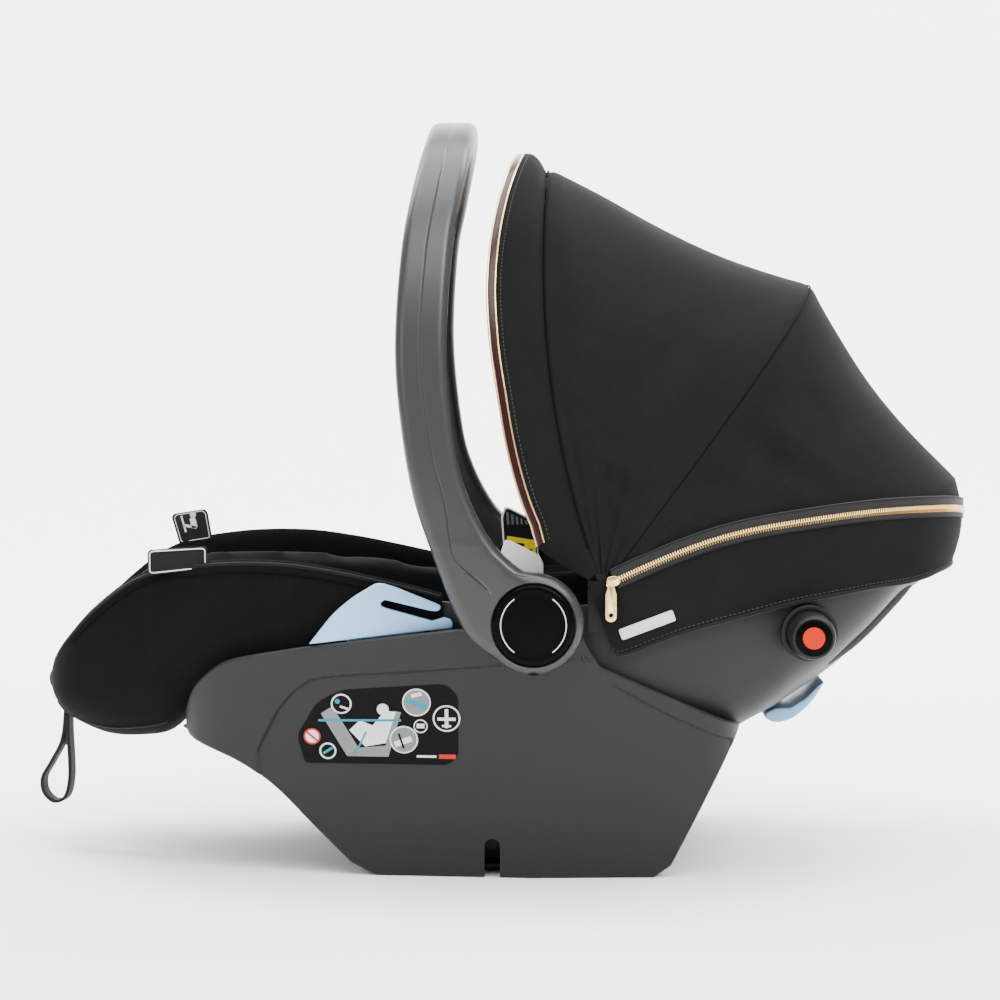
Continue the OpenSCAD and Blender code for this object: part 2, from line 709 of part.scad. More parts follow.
// Lap straps from the sides of the seat to the buckle
module lap_straps() {
  edge = [for (y = [118:-8:46]) [y, seat_top(10, y) + 3]];
  function row(x, up) = concat([for (p = edge) [x, p[0], p[1] + up]], [[x, 36, 99 + up], [x - 9, 26, 99 + up]]);
  color("#2a2a2c") both_sides() sheet_solid([row(-2, 1.6), row(22, 1.6)], [row(-2, 0), row(22, 0)]);
}

module crotch_strap() {
  color("#2a2a2c") ribbon([[-66, 96, -12, 12], [-54, 98.5, -12, 12], [-42.6, 100, -12, 12]], 1.8);
}

buckle_at = [-42, 0, 94];

// Buckle body, with a slot for the two tongues and a recess for its button
module buckle() {
  color("#101011")
  translate(buckle_at) difference() {
    translate([0, -22, 0]) cube([44, 44, 16]);
    translate([11, -10, 10]) cube([20, 20, 8]);
    translate([34, -17, 5]) cube([12, 34, 6]);
  }
}

module buckle_button() {
  color("#c8281e") translate(buckle_at) translate([11.6, -9.4, 13]) cube([18.8, 18.8, 5]);
}

adjuster_at = [-215, 0, 149.8];

module adjuster_housing() {
  color("#1c1c1e")
  translate(adjuster_at) difference() {
    translate([0, -25, 0]) cube([40, 50, 12]);
    translate([10, -15, 3]) cube([20, 30, 10]);
  }
}

module adjuster_button() {
  color("#8b8d90") translate(adjuster_at) translate([10.6, -14.4, 6.5]) cube([18.8, 28.8, 7]);
}

// Loop of webbing that hangs from the foot end and tightens the harness
module pull_strap() {
  loop = spline([[-354, 132], [-354, 112], [-357, 88], [-366, 70], [-373.5, 57], [-372.5, 45], [-364, 37],
    [-355, 41], [-351.2, 55], [-351, 72], [-352, 92], [-352.2, 108]], 4);
  color("#202022") ribbon([for (p = loop) [p[0], p[1], -7, 7]], 1.4);
}

// ---- side impact pods ----

module pod_socket() {
  color("#3a3b3d")
  difference() {
    rod(pod_x, pod_z, -172, -150, pod_r + 4);
    rod(pod_x, pod_z, -180, -140, pod_r + 0.4);
    shell_block(150, 330, -0.4, 30);
  }
}

// Knob that stands out towards the car's door
module pod() {
  color("#232426")
  difference() {
    union() {
      rod(pod_x, pod_z, -194, -162, pod_r);
      translate([pod_x, -194, pod_z]) rotate([90, 0, 0]) cylinder(h = 11, r1 = pod_r, r2 = pod_r - 2);
    }
    rod(pod_x, pod_z, -206, -203.5, pod_r - 4);
    rod(pod_x, pod_z, -200, -160, pod_r - 3);
  }
}

module pod_cap() {
  color("#e0401c") rod(pod_x, pod_z, -204.8, -203.6, pod_r - 4.1);
}

module pod_socket_left() { pod_socket(); }
module pod_socket_right() { mirror([0, 1, 0]) pod_socket(); }
module pod_left() { pod(); }
module pod_right() { mirror([0, 1, 0]) pod(); }
module pod_cap_left() { pod_cap(); }
module pod_cap_right() { mirror([0, 1, 0]) pod_cap(); }

// ---- tabs and tags ----

// Upright tab above the seat's rim, next to the hub
module side_tab() {
  color("gainsboro")
  side_prism([[4, 217], [1, 258], [4, 266], [8, 265.5], [30, 254.5], [33, 248], [34, 217]], -168, -165.4);
}

module side_tab_left() { side_tab(); }
module side_tab_right() { mirror([0, 1, 0]) side_tab(); }

module icon_tag() {
  color("#101011")
  side_prism([[-274, 236], [-246, 240.5], [-250, 264], [-252.5, 267], [-279, 263], [-281, 260]], 129.5, 130.5);
}

module woven_tag() {
  color("#101011") side_prism([[-272, 236], [-226, 241.5], [-226, 259], [-272, 256]], -136.5, -135.5);
}

lower_shell();
docking_tray();
docking_bar();
latch_rod();
latch_hook();
release_lever();
seat_shell();
foam_liner();
seat_cushion();
leg_cover();
shell_screws();
belt_guide_left();
belt_guide_right();
rear_belt_guide();
hub_housing_left();
hub_housing_right();
label_left();
label_right();
handle_front();
handle_rear();
handle_button_left();
handle_button_right();
button_spring_left();
button_spring_right();
canopy_pivot_left();
canopy_pivot_right();
canopy_front_bow();
canopy_mid_bow();
canopy_visor();
visor_trim();
canopy_front_panel();
canopy_rear_panel();
canopy_skirt();
zipper_chain();
zip_slider();
zip_pull();
canopy_tag();
headrest_shell();
headrest_pad();
headrest_lever();
shoulder_straps();
shoulder_pads();
lap_straps();
crotch_strap();
buckle();
buckle_button();
adjuster_housing();
adjuster_button();
pull_strap();
pod_socket_left();
pod_socket_right();
pod_left();
pod_right();
pod_cap_left();
pod_cap_right();
side_tab_left();
side_tab_right();
icon_tag();
woven_tag();
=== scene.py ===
"""Looks of the infant car seat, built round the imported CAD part. Shapes are worked out in millimetres in the
part's own frame and turned into metres when a mesh is made."""

import json
import math

import bmesh
import bpy
import numpy as np
from mathutils import Matrix, Vector, noise


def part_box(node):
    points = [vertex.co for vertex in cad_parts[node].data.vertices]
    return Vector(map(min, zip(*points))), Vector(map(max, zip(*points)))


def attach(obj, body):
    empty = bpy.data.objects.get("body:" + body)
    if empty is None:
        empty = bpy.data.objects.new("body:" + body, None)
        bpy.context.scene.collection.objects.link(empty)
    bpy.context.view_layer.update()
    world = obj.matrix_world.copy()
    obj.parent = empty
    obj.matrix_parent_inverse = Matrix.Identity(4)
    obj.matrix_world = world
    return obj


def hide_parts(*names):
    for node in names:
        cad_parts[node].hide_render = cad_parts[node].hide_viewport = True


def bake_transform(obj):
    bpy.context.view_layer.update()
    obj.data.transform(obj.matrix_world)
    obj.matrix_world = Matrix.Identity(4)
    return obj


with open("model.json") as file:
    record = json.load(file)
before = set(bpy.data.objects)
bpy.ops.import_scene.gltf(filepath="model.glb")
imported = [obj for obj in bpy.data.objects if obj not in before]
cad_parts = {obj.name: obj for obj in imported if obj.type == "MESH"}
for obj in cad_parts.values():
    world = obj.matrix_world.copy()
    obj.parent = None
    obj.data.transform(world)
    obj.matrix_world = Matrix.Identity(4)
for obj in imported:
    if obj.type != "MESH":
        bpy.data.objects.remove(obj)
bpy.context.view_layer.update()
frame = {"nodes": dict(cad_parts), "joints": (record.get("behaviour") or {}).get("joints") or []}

MM = 0.001
JOINTS = {joint["name"]: joint for joint in frame["joints"]}


def joint_xz(name):
    """A joint's place along the seat and its height, in millimetres."""
    x, _, z = JOINTS[name]["pos_m"]
    return x / MM, z / MM


def node_box(node):
    """Lowest and highest corner of a CAD node, in millimetres."""
    low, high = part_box(node)
    return np.array(low) / MM, np.array(high) / MM


HUB_X, HUB_Z = joint_xz("handle_swing")
PIVOT_X, PIVOT_Z = joint_xz("canopy_mid_fold")


# ---------------------------------------------------------------- curves and numbers

def bulge(t, n):
    """Superellipse: 1 at t = 0, falling to 0 at t = 1."""
    return np.maximum(0, 1 - np.minimum(1, np.abs(t)) ** n) ** (1 / n)


def unit(v):
    """Vectors brought to length 1."""
    return v / (np.linalg.norm(v, axis=-1, keepdims=True) + 1e-9)


def turn_angles(count):
    """Angles of a full turn, without its end."""
    return np.linspace(0, 2 * math.pi, count, endpoint=False)


def running_length(points):
    """Distance along a polyline at each of its points."""
    return np.concatenate([[0], np.cumsum(np.linalg.norm(np.diff(points, axis=0), axis=1))])


def smooth(t):
    """Smooth step from 0 to 1."""
    t = np.clip(t, 0, 1)
    return t * t * (3 - 2 * t)


def spline(points, n=8, closed=False):
    """Catmull-Rom curve through the points, with n steps between two of them."""
    p = np.array(points, float)
    count = len(p)
    out = []
    for i in range(count if closed else count - 1):
        if closed:
            a, b, c, d = p[i - 1], p[i], p[(i + 1) % count], p[(i + 2) % count]
        else:
            a, b, c, d = p[max(i - 1, 0)], p[i], p[i + 1], p[min(i + 2, count - 1)]
        for k in range(n):
            t = k / n
            out.append(0.5 * (2 * b + (c - a) * t + (2 * a - 5 * b + 4 * c - d) * t * t
                              + (3 * b - a - 3 * c + d) * t ** 3))
    if not closed:
        out.append(p[-1])
    return np.array(out)


def resample(points, count):
    """The same polyline with count points at equal distances."""
    p = np.array(points, float)
    run = running_length(p)
    at = np.linspace(0, run[-1], count)
    return np.stack([np.interp(at, run, p[:, k]) for k in range(p.shape[1])], axis=1)


def lookup(x, line):
    """Second column of line, read at x in its first column."""
    line = np.asarray(line, float)
    return np.interp(x, line[:, 0], line[:, 1])


def distance_to(points, x, z):
    """Signed distance from places (x, z) to a polyline: positive on its left."""
    p = np.array(points, float)
    best = np.full(np.shape(x), 1e9)
    sign = np.ones(np.shape(x))
    for a, b in zip(p[:-1], p[1:]):
        d = b - a
        t = np.clip(((x - a[0]) * d[0] + (z - a[1]) * d[1]) / (d @ d), 0, 1)
        dist = np.hypot(x - a[0] - t * d[0], z - a[1] - t * d[1])
        side = np.sign(d[0] * (z - a[1]) - d[1] * (x - a[0]))
        closer = dist < best
        best = np.where(closer, dist, best)
        sign = np.where(closer, side, sign)
    return best * sign


# ---------------------------------------------------------------- meshes

def finish_piece(obj, body, nodes=(), sharp=35):
    """Shades a piece, puts it on its body and hides the CAD nodes it stands for."""
    obj.data.polygons.foreach_set("use_smooth", [True] * len(obj.data.polygons))
    obj.data.set_sharp_from_angle(angle=math.radians(sharp))
    if body:
        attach(obj, body)
    if nodes:
        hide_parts(*nodes)
    return obj


def new_object(name, verts, faces, material):
    """A mesh object from millimetre coordinates."""
    mesh = bpy.data.meshes.new(name)
    mesh.from_pydata((np.asarray(verts, float) * MM).tolist(), [], faces)
    mesh.materials.append(material)
    mesh.update()
    obj = bpy.data.objects.new(name, mesh)
    bpy.context.scene.collection.objects.link(obj)
    return obj


def grid_faces(rows, cols, close_rows=False, close_cols=False, start=0):
    """Quads over a grid of rows by cols vertices."""
    out = []
    for i in range(rows if close_rows else rows - 1):
        for j in range(cols if close_cols else cols - 1):
            a, b = i * cols + j, i * cols + (j + 1) % cols
            c, d = ((i + 1) % rows) * cols + (j + 1) % cols, ((i + 1) % rows) * cols + j
            out.append((start + a, start + b, start + c, start + d))
    return out


def grid_object(name, points, material, close_rows=False, close_cols=False, caps=False):
    """A surface over an array of points, rows by columns by 3."""
    points = np.asarray(points, float)
    rows, cols = points.shape[:2]
    faces = grid_faces(rows, cols, close_rows, close_cols)
    if caps:
        faces.append(tuple(range(cols - 1, -1, -1)))
        faces.append(tuple((rows - 1) * cols + j for j in range(cols)))
    return new_object(name, points.reshape(-1, 3), faces, material)


def edit_mesh(obj, change):
    """Opens the object's mesh, runs change on it and writes it back."""
    bm = bmesh.new()
    bm.from_mesh(obj.data)
    change(bm)
    bm.to_mesh(obj.data)
    bm.free()
    return obj


def recalc(obj):
    """Merges double points and points every face outwards."""
    def change(bm):
        bmesh.ops.remove_doubles(bm, verts=bm.verts, dist=2e-5)
        bmesh.ops.recalc_face_normals(bm, faces=bm.faces)
    return edit_mesh(obj, change)


def round_edges(obj, width, segments, edges, clamp=True):
    """Bevels the edges that edges(bm) picks; width is in millimetres."""
    def change(bm):
        bmesh.ops.bevel(bm, geom=edges(bm), offset=width * MM, segments=segments, profile=0.5, affect="EDGES",
                        clamp_overlap=clamp)
    return edit_mesh(obj, change)


def close_ends(obj, rings):
    """Adds a face over each listed ring of vertex numbers and points all faces outwards."""
    def change(bm):
        for ring in rings:
            bm.verts.ensure_lookup_table()
            bm.faces.new([bm.verts[i] for i in ring])
        bmesh.ops.recalc_face_normals(bm, faces=bm.faces)
    return edit_mesh(obj, change)


def apply_modifiers(obj):
    """Turns the modified mesh into the object's own mesh."""
    bpy.context.view_layer.update()
    graph = bpy.context.evaluated_depsgraph_get()
    mesh = bpy.data.meshes.new_from_object(obj.evaluated_get(graph))
    old = obj.data
    obj.modifiers.clear()
    obj.data = mesh
    bpy.data.meshes.remove(old)
    return obj


def solidify(obj, thickness, offset=-1.0, rim_bevel=0.0):
    """Gives a surface thickness in millimetres, inwards for offset -1."""
    mod = obj.modifiers.new("thick", "SOLIDIFY")
    mod.thickness = thickness * MM
    mod.offset = offset
    mod.use_even_offset = False
    if rim_bevel:
        bevel = obj.modifiers.new("rim", "BEVEL")
        bevel.width = rim_bevel * MM
        bevel.segments = 3
        bevel.limit_method = "ANGLE"
        bevel.angle_limit = math.radians(50)
    return apply_modifiers(obj)


def subdivide(obj, levels=1):
    """Smooths the mesh by subdivision."""
    mod = obj.modifiers.new("smooth", "SUBSURF")
    mod.levels = levels
    mod.render_levels = levels
    return apply_modifiers(obj)


def cut(obj, *cutters):
    """Subtracts the cutters and removes them."""
    for cutter in cutters:
        mod = obj.modifiers.new("cut", "BOOLEAN")
        mod.operation = "DIFFERENCE"
        mod.object = cutter
        mod.solver = "EXACT"
        apply_modifiers(obj)
        bpy.data.objects.remove(cutter)
    return obj


def plate(name, outline, y0, y1, material, bevel=1.0, segments=3):
    """An outline in X and Z, extruded from y0 to y1, with rounded edges."""
    pts = np.array(outline, float)
    count = len(pts)
    verts = [(x, y0, z) for x, z in pts] + [(x, y1, z) for x, z in pts]
    faces = [tuple(range(count)), tuple(range(2 * count - 1, count - 1, -1))]
    faces += [(i, (i + 1) % count, count + (i + 1) % count, count + i) for i in range(count)]
    obj = recalc(new_object(name, verts, faces, material))
    if bevel:
        round_edges(obj, bevel, segments,
                    lambda bm: [e for e in bm.edges if abs(e.verts[0].co.y - e.verts[1].co.y) < 1e-6])
    return obj


def box_object(name, low, high, material, bevel):
    """A box with rounded edges, between two corners."""
    (x0, y0, z0), (x1, y1, z1) = low, high
    verts = [(x, y, z) for x in (x0, x1) for y in (y0, y1) for z in (z0, z1)]
    faces = [(0, 1, 3, 2), (4, 6, 7, 5), (0, 4, 5, 1), (2, 3, 7, 6), (0, 2, 6, 4), (1, 5, 7, 3)]
    obj = recalc(new_object(name, verts, faces, material))
    return round_edges(obj, bevel, 2, lambda bm: bm.edges[:], clamp=False)


def lathe(name, profile, centre, axis, material, steps=64, ring=False):
    """A profile of (radius, height) turned about axis at centre; a ring's profile is a closed loop."""
    prof = np.array(profile, float)
    w = Vector(axis).normalized()
    u = w.orthogonal().normalized()
    v = w.cross(u)
    rows = []
    for r, h in prof:
        rows.append([list(Vector(centre) + w * h + (u * math.cos(a) + v * math.sin(a)) * r)
                     for a in turn_angles(steps)])
    return recalc(grid_object(name, rows, material, close_rows=ring, close_cols=True, caps=not ring))


def tube(name, path, radius, material, sections=8, closed=False, up=(0, 0, 1)):
    """A round rod along a path."""
    p = np.array(path, float)
    tangent = unit(np.roll(p, -1, axis=0) - np.roll(p, 1, axis=0) if closed else np.gradient(p, axis=0))
    side = unit(np.cross(tangent, np.array(up, float)))
    normal = np.cross(side, tangent)
    rows = [[c + radius * (math.cos(a) * u + math.sin(a) * v) for a in turn_angles(sections)]
            for c, u, v in zip(p, side, normal)]
    return recalc(grid_object(name, rows, material, close_rows=closed, close_cols=True, caps=not closed))


ACROSS = (0, 1, 0)


def outline_tube(outline, y, radius, material):
    """A thin closed cord along an outline in X and Z, at y."""
    return tube("line", [(x, y, z) for x, z in outline], radius, material, 6, closed=True, up=ACROSS)


def strap(name, path, across, thick, material):
    """A flat strap: path of centres, across the half-width vector at each point."""
    p = np.array(path, float)
    w = np.broadcast_to(np.array(across, float), p.shape)
    tangent = np.gradient(p, axis=0)
    normal = unit(np.cross(w, tangent))
    top = [(-1, 0), (-0.97, 0.8), (-0.9, 1), (-0.45, 0.96), (0, 1), (0.45, 0.96), (0.9, 1), (0.97, 0.8)]
    section = top + [(-s, -h) for s, h in top]
    rows = [[p[i] + w[i] * s + normal[i] * thick / 2 * h for s, h in section] for i in range(len(p))]
    return recalc(grid_object(name, rows, material, close_cols=True, caps=True))


def join(name, parts):
    """One object from several, keeping their materials."""
    verts, faces, materials, index = [], [], [], []
    for part in parts:
        start = len(verts)
        matrix = part.matrix_world
        verts += [tuple(matrix @ v.co) for v in part.data.vertices]
        local = []
        for material in part.data.materials:
            if material not in materials:
                materials.append(material)
            local.append(materials.index(material))
        for poly in part.data.polygons:
            faces.append(tuple(start + v for v in poly.vertices))
            index.append(local[poly.material_index])
    mesh = bpy.data.meshes.new(name)
    mesh.from_pydata(verts, [], faces)
    for material in materials:
        mesh.materials.append(material)
    mesh.polygons.foreach_set("material_index", index)
    mesh.update()
    for part in parts:
        bpy.data.objects.remove(part)
    obj = bpy.data.objects.new(name, mesh)
    bpy.context.scene.collection.objects.link(obj)
    return obj


def cloth_puff(obj, pressure, voxel, cap, frames=16):
    """Swells a closed mesh as stuffed cloth: remesh, pressure, capped displacement."""
    mod = obj.modifiers.new("remesh", "REMESH")
    mod.mode = "VOXEL"
    mod.voxel_size = voxel * MM
    apply_modifiers(obj)
    before = np.array([v.co for v in obj.data.vertices])
    cloth = obj.modifiers.new("cloth", "CLOTH")
    settings = cloth.settings
    settings.quality = 4
    settings.mass = 0.3
    settings.use_pressure = True
    settings.uniform_pressure_force = pressure
    settings.tension_stiffness = 12
    settings.compression_stiffness = 12
    settings.bending_stiffness = 0.4
    settings.effector_weights.gravity = 0
    cloth.collision_settings.use_collision = False
    cloth.point_cache.frame_start = 1
    cloth.point_cache.frame_end = frames
    for number in range(1, frames + 1):
        bpy.context.scene.frame_set(number)
    apply_modifiers(obj)
    bpy.context.scene.frame_set(1)
    after = np.array([v.co for v in obj.data.vertices])
    move = after - before
    length = np.linalg.norm(move, axis=1)
    scale = np.minimum(1, cap * MM / np.maximum(length, 1e-9))
    obj.data.vertices.foreach_set("co", (before + move * scale[:, None]).ravel())
    obj.data.update()
    return obj


# ---------------------------------------------------------------- materials

def node_graph(name):
    """A new material, its nodes and its shader."""
    mat = bpy.data.materials.new(name)
    mat.use_nodes = True
    tree = mat.node_tree
    shader = next(n for n in tree.nodes if n.type == "BSDF_PRINCIPLED")
    return mat, tree, shader


def place(tree):
    """Object coordinates, in metres."""
    return tree.nodes.new("ShaderNodeTexCoord").outputs["Object"]


def noise_node(tree, vector, scale, detail=2.0, rough=0.5):
    node = tree.nodes.new("ShaderNodeTexNoise")
    node.inputs["Scale"].default_value = scale
    node.inputs["Detail"].default_value = detail
    node.inputs["Roughness"].default_value = rough
    tree.links.new(vector, node.inputs["Vector"])
    return node.outputs["Fac"]


def math_node(tree, operation, a, b):
    node = tree.nodes.new("ShaderNodeMath")
    node.operation = operation
    for socket, value in zip(node.inputs, (a, b)):
        if isinstance(value, (int, float)):
            socket.default_value = value
        else:
            tree.links.new(value, socket)
    return node.outputs[0]


def map_range(tree, value, a, b, c, d):
    node = tree.nodes.new("ShaderNodeMapRange")
    for socket, number in zip(list(node.inputs)[1:5], (a, b, c, d)):
        socket.default_value = number
    tree.links.new(value, node.inputs[0])
    return node.outputs[0]


def tint(tree, colour, factor, low, high):
    """The colour, made darker and lighter as factor runs from 0 to 1."""
    mix = tree.nodes.new("ShaderNodeMix")
    mix.data_type = "RGBA"
    mix.inputs[6].default_value = (*[c * low for c in colour], 1)
    mix.inputs[7].default_value = (*[c * high for c in colour], 1)
    tree.links.new(factor, mix.inputs[0])
    return mix.outputs[2]


def bump_node(tree, shader, height, strength, distance):
    node = tree.nodes.new("ShaderNodeBump")
    node.inputs["Strength"].default_value = strength
    node.inputs["Distance"].default_value = distance
    tree.links.new(height, node.inputs["Height"])
    tree.links.new(node.outputs["Normal"], shader.inputs["Normal"])


def plastic(name, colour, rough, grain=0.25, specular=0.5):
    """Moulded plastic: fine erosion grain, slow changes of gloss, and edges rubbed a little lighter."""
    mat, tree, shader = node_graph(name)
    at = place(tree)
    fine = noise_node(tree, at, 2600, 2)
    slow = noise_node(tree, at, 14, 3)
    edge = tree.nodes.new("ShaderNodeNewGeometry").outputs["Pointiness"]
    worn = map_range(tree, edge, 0.52, 0.62, 0.0, 0.5)
    shade = math_node(tree, "ADD", math_node(tree, "MULTIPLY", slow, 0.7), worn)
    tree.links.new(tint(tree, colour, shade, 0.95, 1.11), shader.inputs["Base Color"])
    gloss = math_node(tree, "ADD", math_node(tree, "MULTIPLY", slow, 0.12), rough - 0.06)
    tree.links.new(gloss, shader.inputs["Roughness"])
    shader.inputs["Specular IOR Level"].default_value = specular
    if grain:
        bump_node(tree, shader, fine, grain, 0.0002)
    return mat


def cloth_material(name, colour, thread=0.45, depth=0.5, sheen=0.1, specular=0.12):
    """Woven cloth: fibres of that width in millimetres lying both ways, lint and slow shading."""
    mat, tree, shader = node_graph(name)
    at = place(tree)
    ways = []
    for stretch in ((1, 0.28, 0.28), (0.28, 0.28, 1)):
        turn = tree.nodes.new("ShaderNodeMapping")
        turn.inputs["Scale"].default_value = stretch
        tree.links.new(at, turn.inputs["Vector"])
        ways.append(noise_node(tree, turn.outputs["Vector"], 700 / thread, 1))
    weave = math_node(tree, "MAXIMUM", ways[0], ways[1])
    lint = noise_node(tree, at, 1400, 2)
    slow = noise_node(tree, at, 22, 3)
    height = math_node(tree, "ADD", weave, math_node(tree, "MULTIPLY", lint, 0.4))
    shade = math_node(tree, "MULTIPLY", math_node(tree, "ADD", math_node(tree, "MULTIPLY", lint, 0.5), weave),
                      math_node(tree, "ADD", math_node(tree, "MULTIPLY", slow, 0.8), 0.4))
    tree.links.new(tint(tree, colour, shade, 0.65, 1.35), shader.inputs["Base Color"])
    shader.inputs["Roughness"].default_value = 0.85
    shader.inputs["Specular IOR Level"].default_value = specular
    shader.inputs["Sheen Weight"].default_value = sheen
    shader.inputs["Sheen Roughness"].default_value = 0.4
    bump_node(tree, shader, height, depth, 0.0003)
    return mat


def webbing_material(name, colour):
    """Belt webbing: ribs across the strap and a fine grain."""
    mat, tree, shader = node_graph(name)
    at = place(tree)
    wave = tree.nodes.new("ShaderNodeTexWave")
    wave.bands_direction = "X"
    wave.inputs["Scale"].default_value = 28
    wave.inputs["Distortion"].default_value = 0.6
    tree.links.new(at, wave.inputs["Vector"])
    lint = noise_node(tree, at, 1800, 2)
    height = math_node(tree, "ADD", wave.outputs["Fac"], lint)
    tree.links.new(tint(tree, colour, height, 0.6, 1.25), shader.inputs["Base Color"])
    shader.inputs["Roughness"].default_value = 0.7
    shader.inputs["Specular IOR Level"].default_value = 0.2
    shader.inputs["Sheen Weight"].default_value = 0.06
    bump_node(tree, shader, height, 0.5, 0.0004)
    return mat


def metal(name, colour, rough):
    """Plated metal with fine scratches."""
    mat, tree, shader = node_graph(name)
    at = place(tree)
    slow = noise_node(tree, at, 60, 3)
    fine = noise_node(tree, at, 900, 2)
    tree.links.new(tint(tree, colour, slow, 0.88, 1.08), shader.inputs["Base Color"])
    scratches = math_node(tree, "MULTIPLY", fine, 0.06)
    tree.links.new(math_node(tree, "ADD", scratches, rough), shader.inputs["Roughness"])
    shader.inputs["Metallic"].default_value = 1.0
    bump_node(tree, shader, fine, 0.06, 0.0001)
    return mat


M = {
    "shell": plastic("shell_grained", (0.0112, 0.0112, 0.0114), 0.5, grain=0.3, specular=0.19),
    "handle": plastic("handle_satin", (0.0175, 0.0175, 0.0178), 0.33, grain=0.12, specular=0.4),
    "fabric": cloth_material("padded_twill", (0.0028, 0.0028, 0.0030), depth=0.6, sheen=0.008, specular=0.06),
    "canopy": cloth_material("canopy_cloth", (0.0058, 0.0058, 0.0060), thread=0.4, depth=0.45, sheen=0.008,
                             specular=0.05),
    "lining": cloth_material("lining_mesh", (0.0040, 0.0040, 0.0043), thread=0.9, depth=0.8, sheen=0.01),
    "seam": cloth_material("seam_shadow", (0.0022, 0.0022, 0.0024), thread=0.35, depth=0.3, sheen=0.0,
                           specular=0.05),
    "pipe": cloth_material("piping_cord", (0.0060, 0.0060, 0.0063), thread=0.35, depth=0.4, sheen=0.12),
    "tape": cloth_material("zip_tape", (0.014, 0.014, 0.0145), thread=0.35, depth=0.5, sheen=0.12),
    "web": webbing_material("harness_webbing", (0.0062, 0.0062, 0.0066)),
    "thread": cloth_material("sewing_thread", (0.030, 0.030, 0.031), thread=0.3, depth=0.3, sheen=0.15),
    "foam": plastic("bead_foam", (0.020, 0.020, 0.021), 0.85, grain=0.9, specular=0.15),
    "gold": metal("pale_gold", (0.90, 0.62, 0.27), 0.2),
    "steel": metal("drawn_steel", (0.40, 0.40, 0.41), 0.3),
    "bar": metal("dark_steel", (0.022, 0.022, 0.024), 0.6),
    "blue": plastic("blue_guide", (0.25, 0.43, 0.66), 0.32, grain=0.05, specular=0.35),
    "silver": plastic("satin_tag", (0.50, 0.50, 0.51), 0.42, grain=0.1),
    "white": plastic("white_tab", (0.72, 0.72, 0.71), 0.5, grain=0.1),
    "yellow": plastic("yellow_film", (0.86, 0.66, 0.0), 0.5, grain=0.0, specular=0.2),
    "gloss": plastic("black_gloss", (0.0012, 0.0012, 0.0013), 0.2, grain=0.0, specular=0.03),
    "black": plastic("black_moulding", (0.0075, 0.0075, 0.0080), 0.5, grain=0.3, specular=0.2),
    "red": plastic("red_orange", (0.40, 0.010, 0.0), 0.45, grain=0.0, specular=0.12),
    "wine": plastic("dark_binding", (0.016, 0.0018, 0.0016), 0.22, grain=0.0, specular=0.3),
    "film": plastic("label_film", (0.0032, 0.0032, 0.0034), 0.5, grain=0.0, specular=0.05),
    "print": plastic("label_white", (0.52, 0.53, 0.54), 0.45, grain=0.0, specular=0.2),
    "ink": plastic("label_blue", (0.01, 0.16, 0.24), 0.45, grain=0.0, specular=0.2),
    "rule": plastic("label_red", (0.34, 0.012, 0.004), 0.45, grain=0.0, specular=0.2),
    "grey": plastic("grey_moulding", (0.13, 0.133, 0.137), 0.45, grain=0.2, specular=0.3),
}

# CAD nodes that are shown as they are take these materials
KEPT = {
    "docking_tray": "black", "docking_bar": "bar", "latch_rod": "steel", "latch_hook": "steel",
    "release_lever": "black", "shell_screws": "steel", "hub_housing_left": "black",
    "hub_housing_right": "black", "button_spring_left": "steel", "button_spring_right": "steel",
    "canopy_pivot_left": "black", "canopy_pivot_right": "black", "canopy_front_bow": "black",
    "canopy_mid_bow": "black", "headrest_shell": "black", "headrest_lever": "grey", "buckle_button": "red",
    "adjuster_button": "grey",
}
for node, key in KEPT.items():
    mesh = frame["nodes"][node].data
    mesh.materials.clear()
    mesh.materials.append(M[key])


# ---------------------------------------------------------------- the seat's main curves

def shell_hw(x):
    """Half-width of the seat shell along the seat."""
    x = np.asarray(x, float)
    rear = 174 * bulge((x - PIVOT_X) / (358 - PIVOT_X), 2.8)
    front = (174 - 0.1 * (PIVOT_X - x)) * bulge((PIVOT_X - x) / (PIVOT_X + 352), 5)
    return np.where(x > PIVOT_X, rear, front)


def cover_hw(x):
    """Half-width of the cover."""
    x = np.asarray(x, float)
    return (176 - 0.09 * (PIVOT_X - x)) * bulge((PIVOT_X - x) / (PIVOT_X + 360), 5)


def lower_hw(x):
    """Half-width of the lower shell at its widest height."""
    x = np.asarray(x, float)
    rear = (185 - 0.03 * (x - HUB_X)) * bulge((x - HUB_X) / (190 - HUB_X), 8)
    front = (185 - 0.11 * (HUB_X - x)) * bulge((HUB_X - x) / (HUB_X + 250), 10)
    return np.where(x > HUB_X, rear, front)


FLARE = 0.25
# bottom and rim of the seat shell and of the cover, as (place along the seat, height)
FLOOR = spline([(-350, 152), (-330, 125), (-300, 113), (-250, 125), (-200, 112), (-120, 76), (-40, 54),
                (40, 48), (110, 66), (160, 90), (190, 109), (221, 121), (274, 149), (316, 188), (347, 221),
                (358, 236)], 6)
RIM = spline([(-350, 166), (-330, 190), (-300, 218), (-276, 229), (-224, 234), (-124, 231), (-44, 218),
              (25, 215), (78, 218), (120, 236), (200, 256), (300, 260), (358, 254)], 6)
COVER_FLOOR = spline([(-359, 139), (-356, 129), (-352, 122), (-340, 111), (-308, 98.5), (-267, 100.5),
                      (-247, 115), (-235, 118), (-200, 105), (-120, 69), (-44, 47)], 6)
COVER_RIM = spline([(-359, 149), (-356, 157), (-352, 166), (-340, 183), (-314, 211), (-276, 237), (-224, 247),
                    (-170, 248), (-124, 242), (-72, 231), (-44, 224)], 6)


def lower_y(x, z):
    """Distance of the lower shell's side wall from the middle."""
    return lower_hw(x) - FLARE * (165 - z)


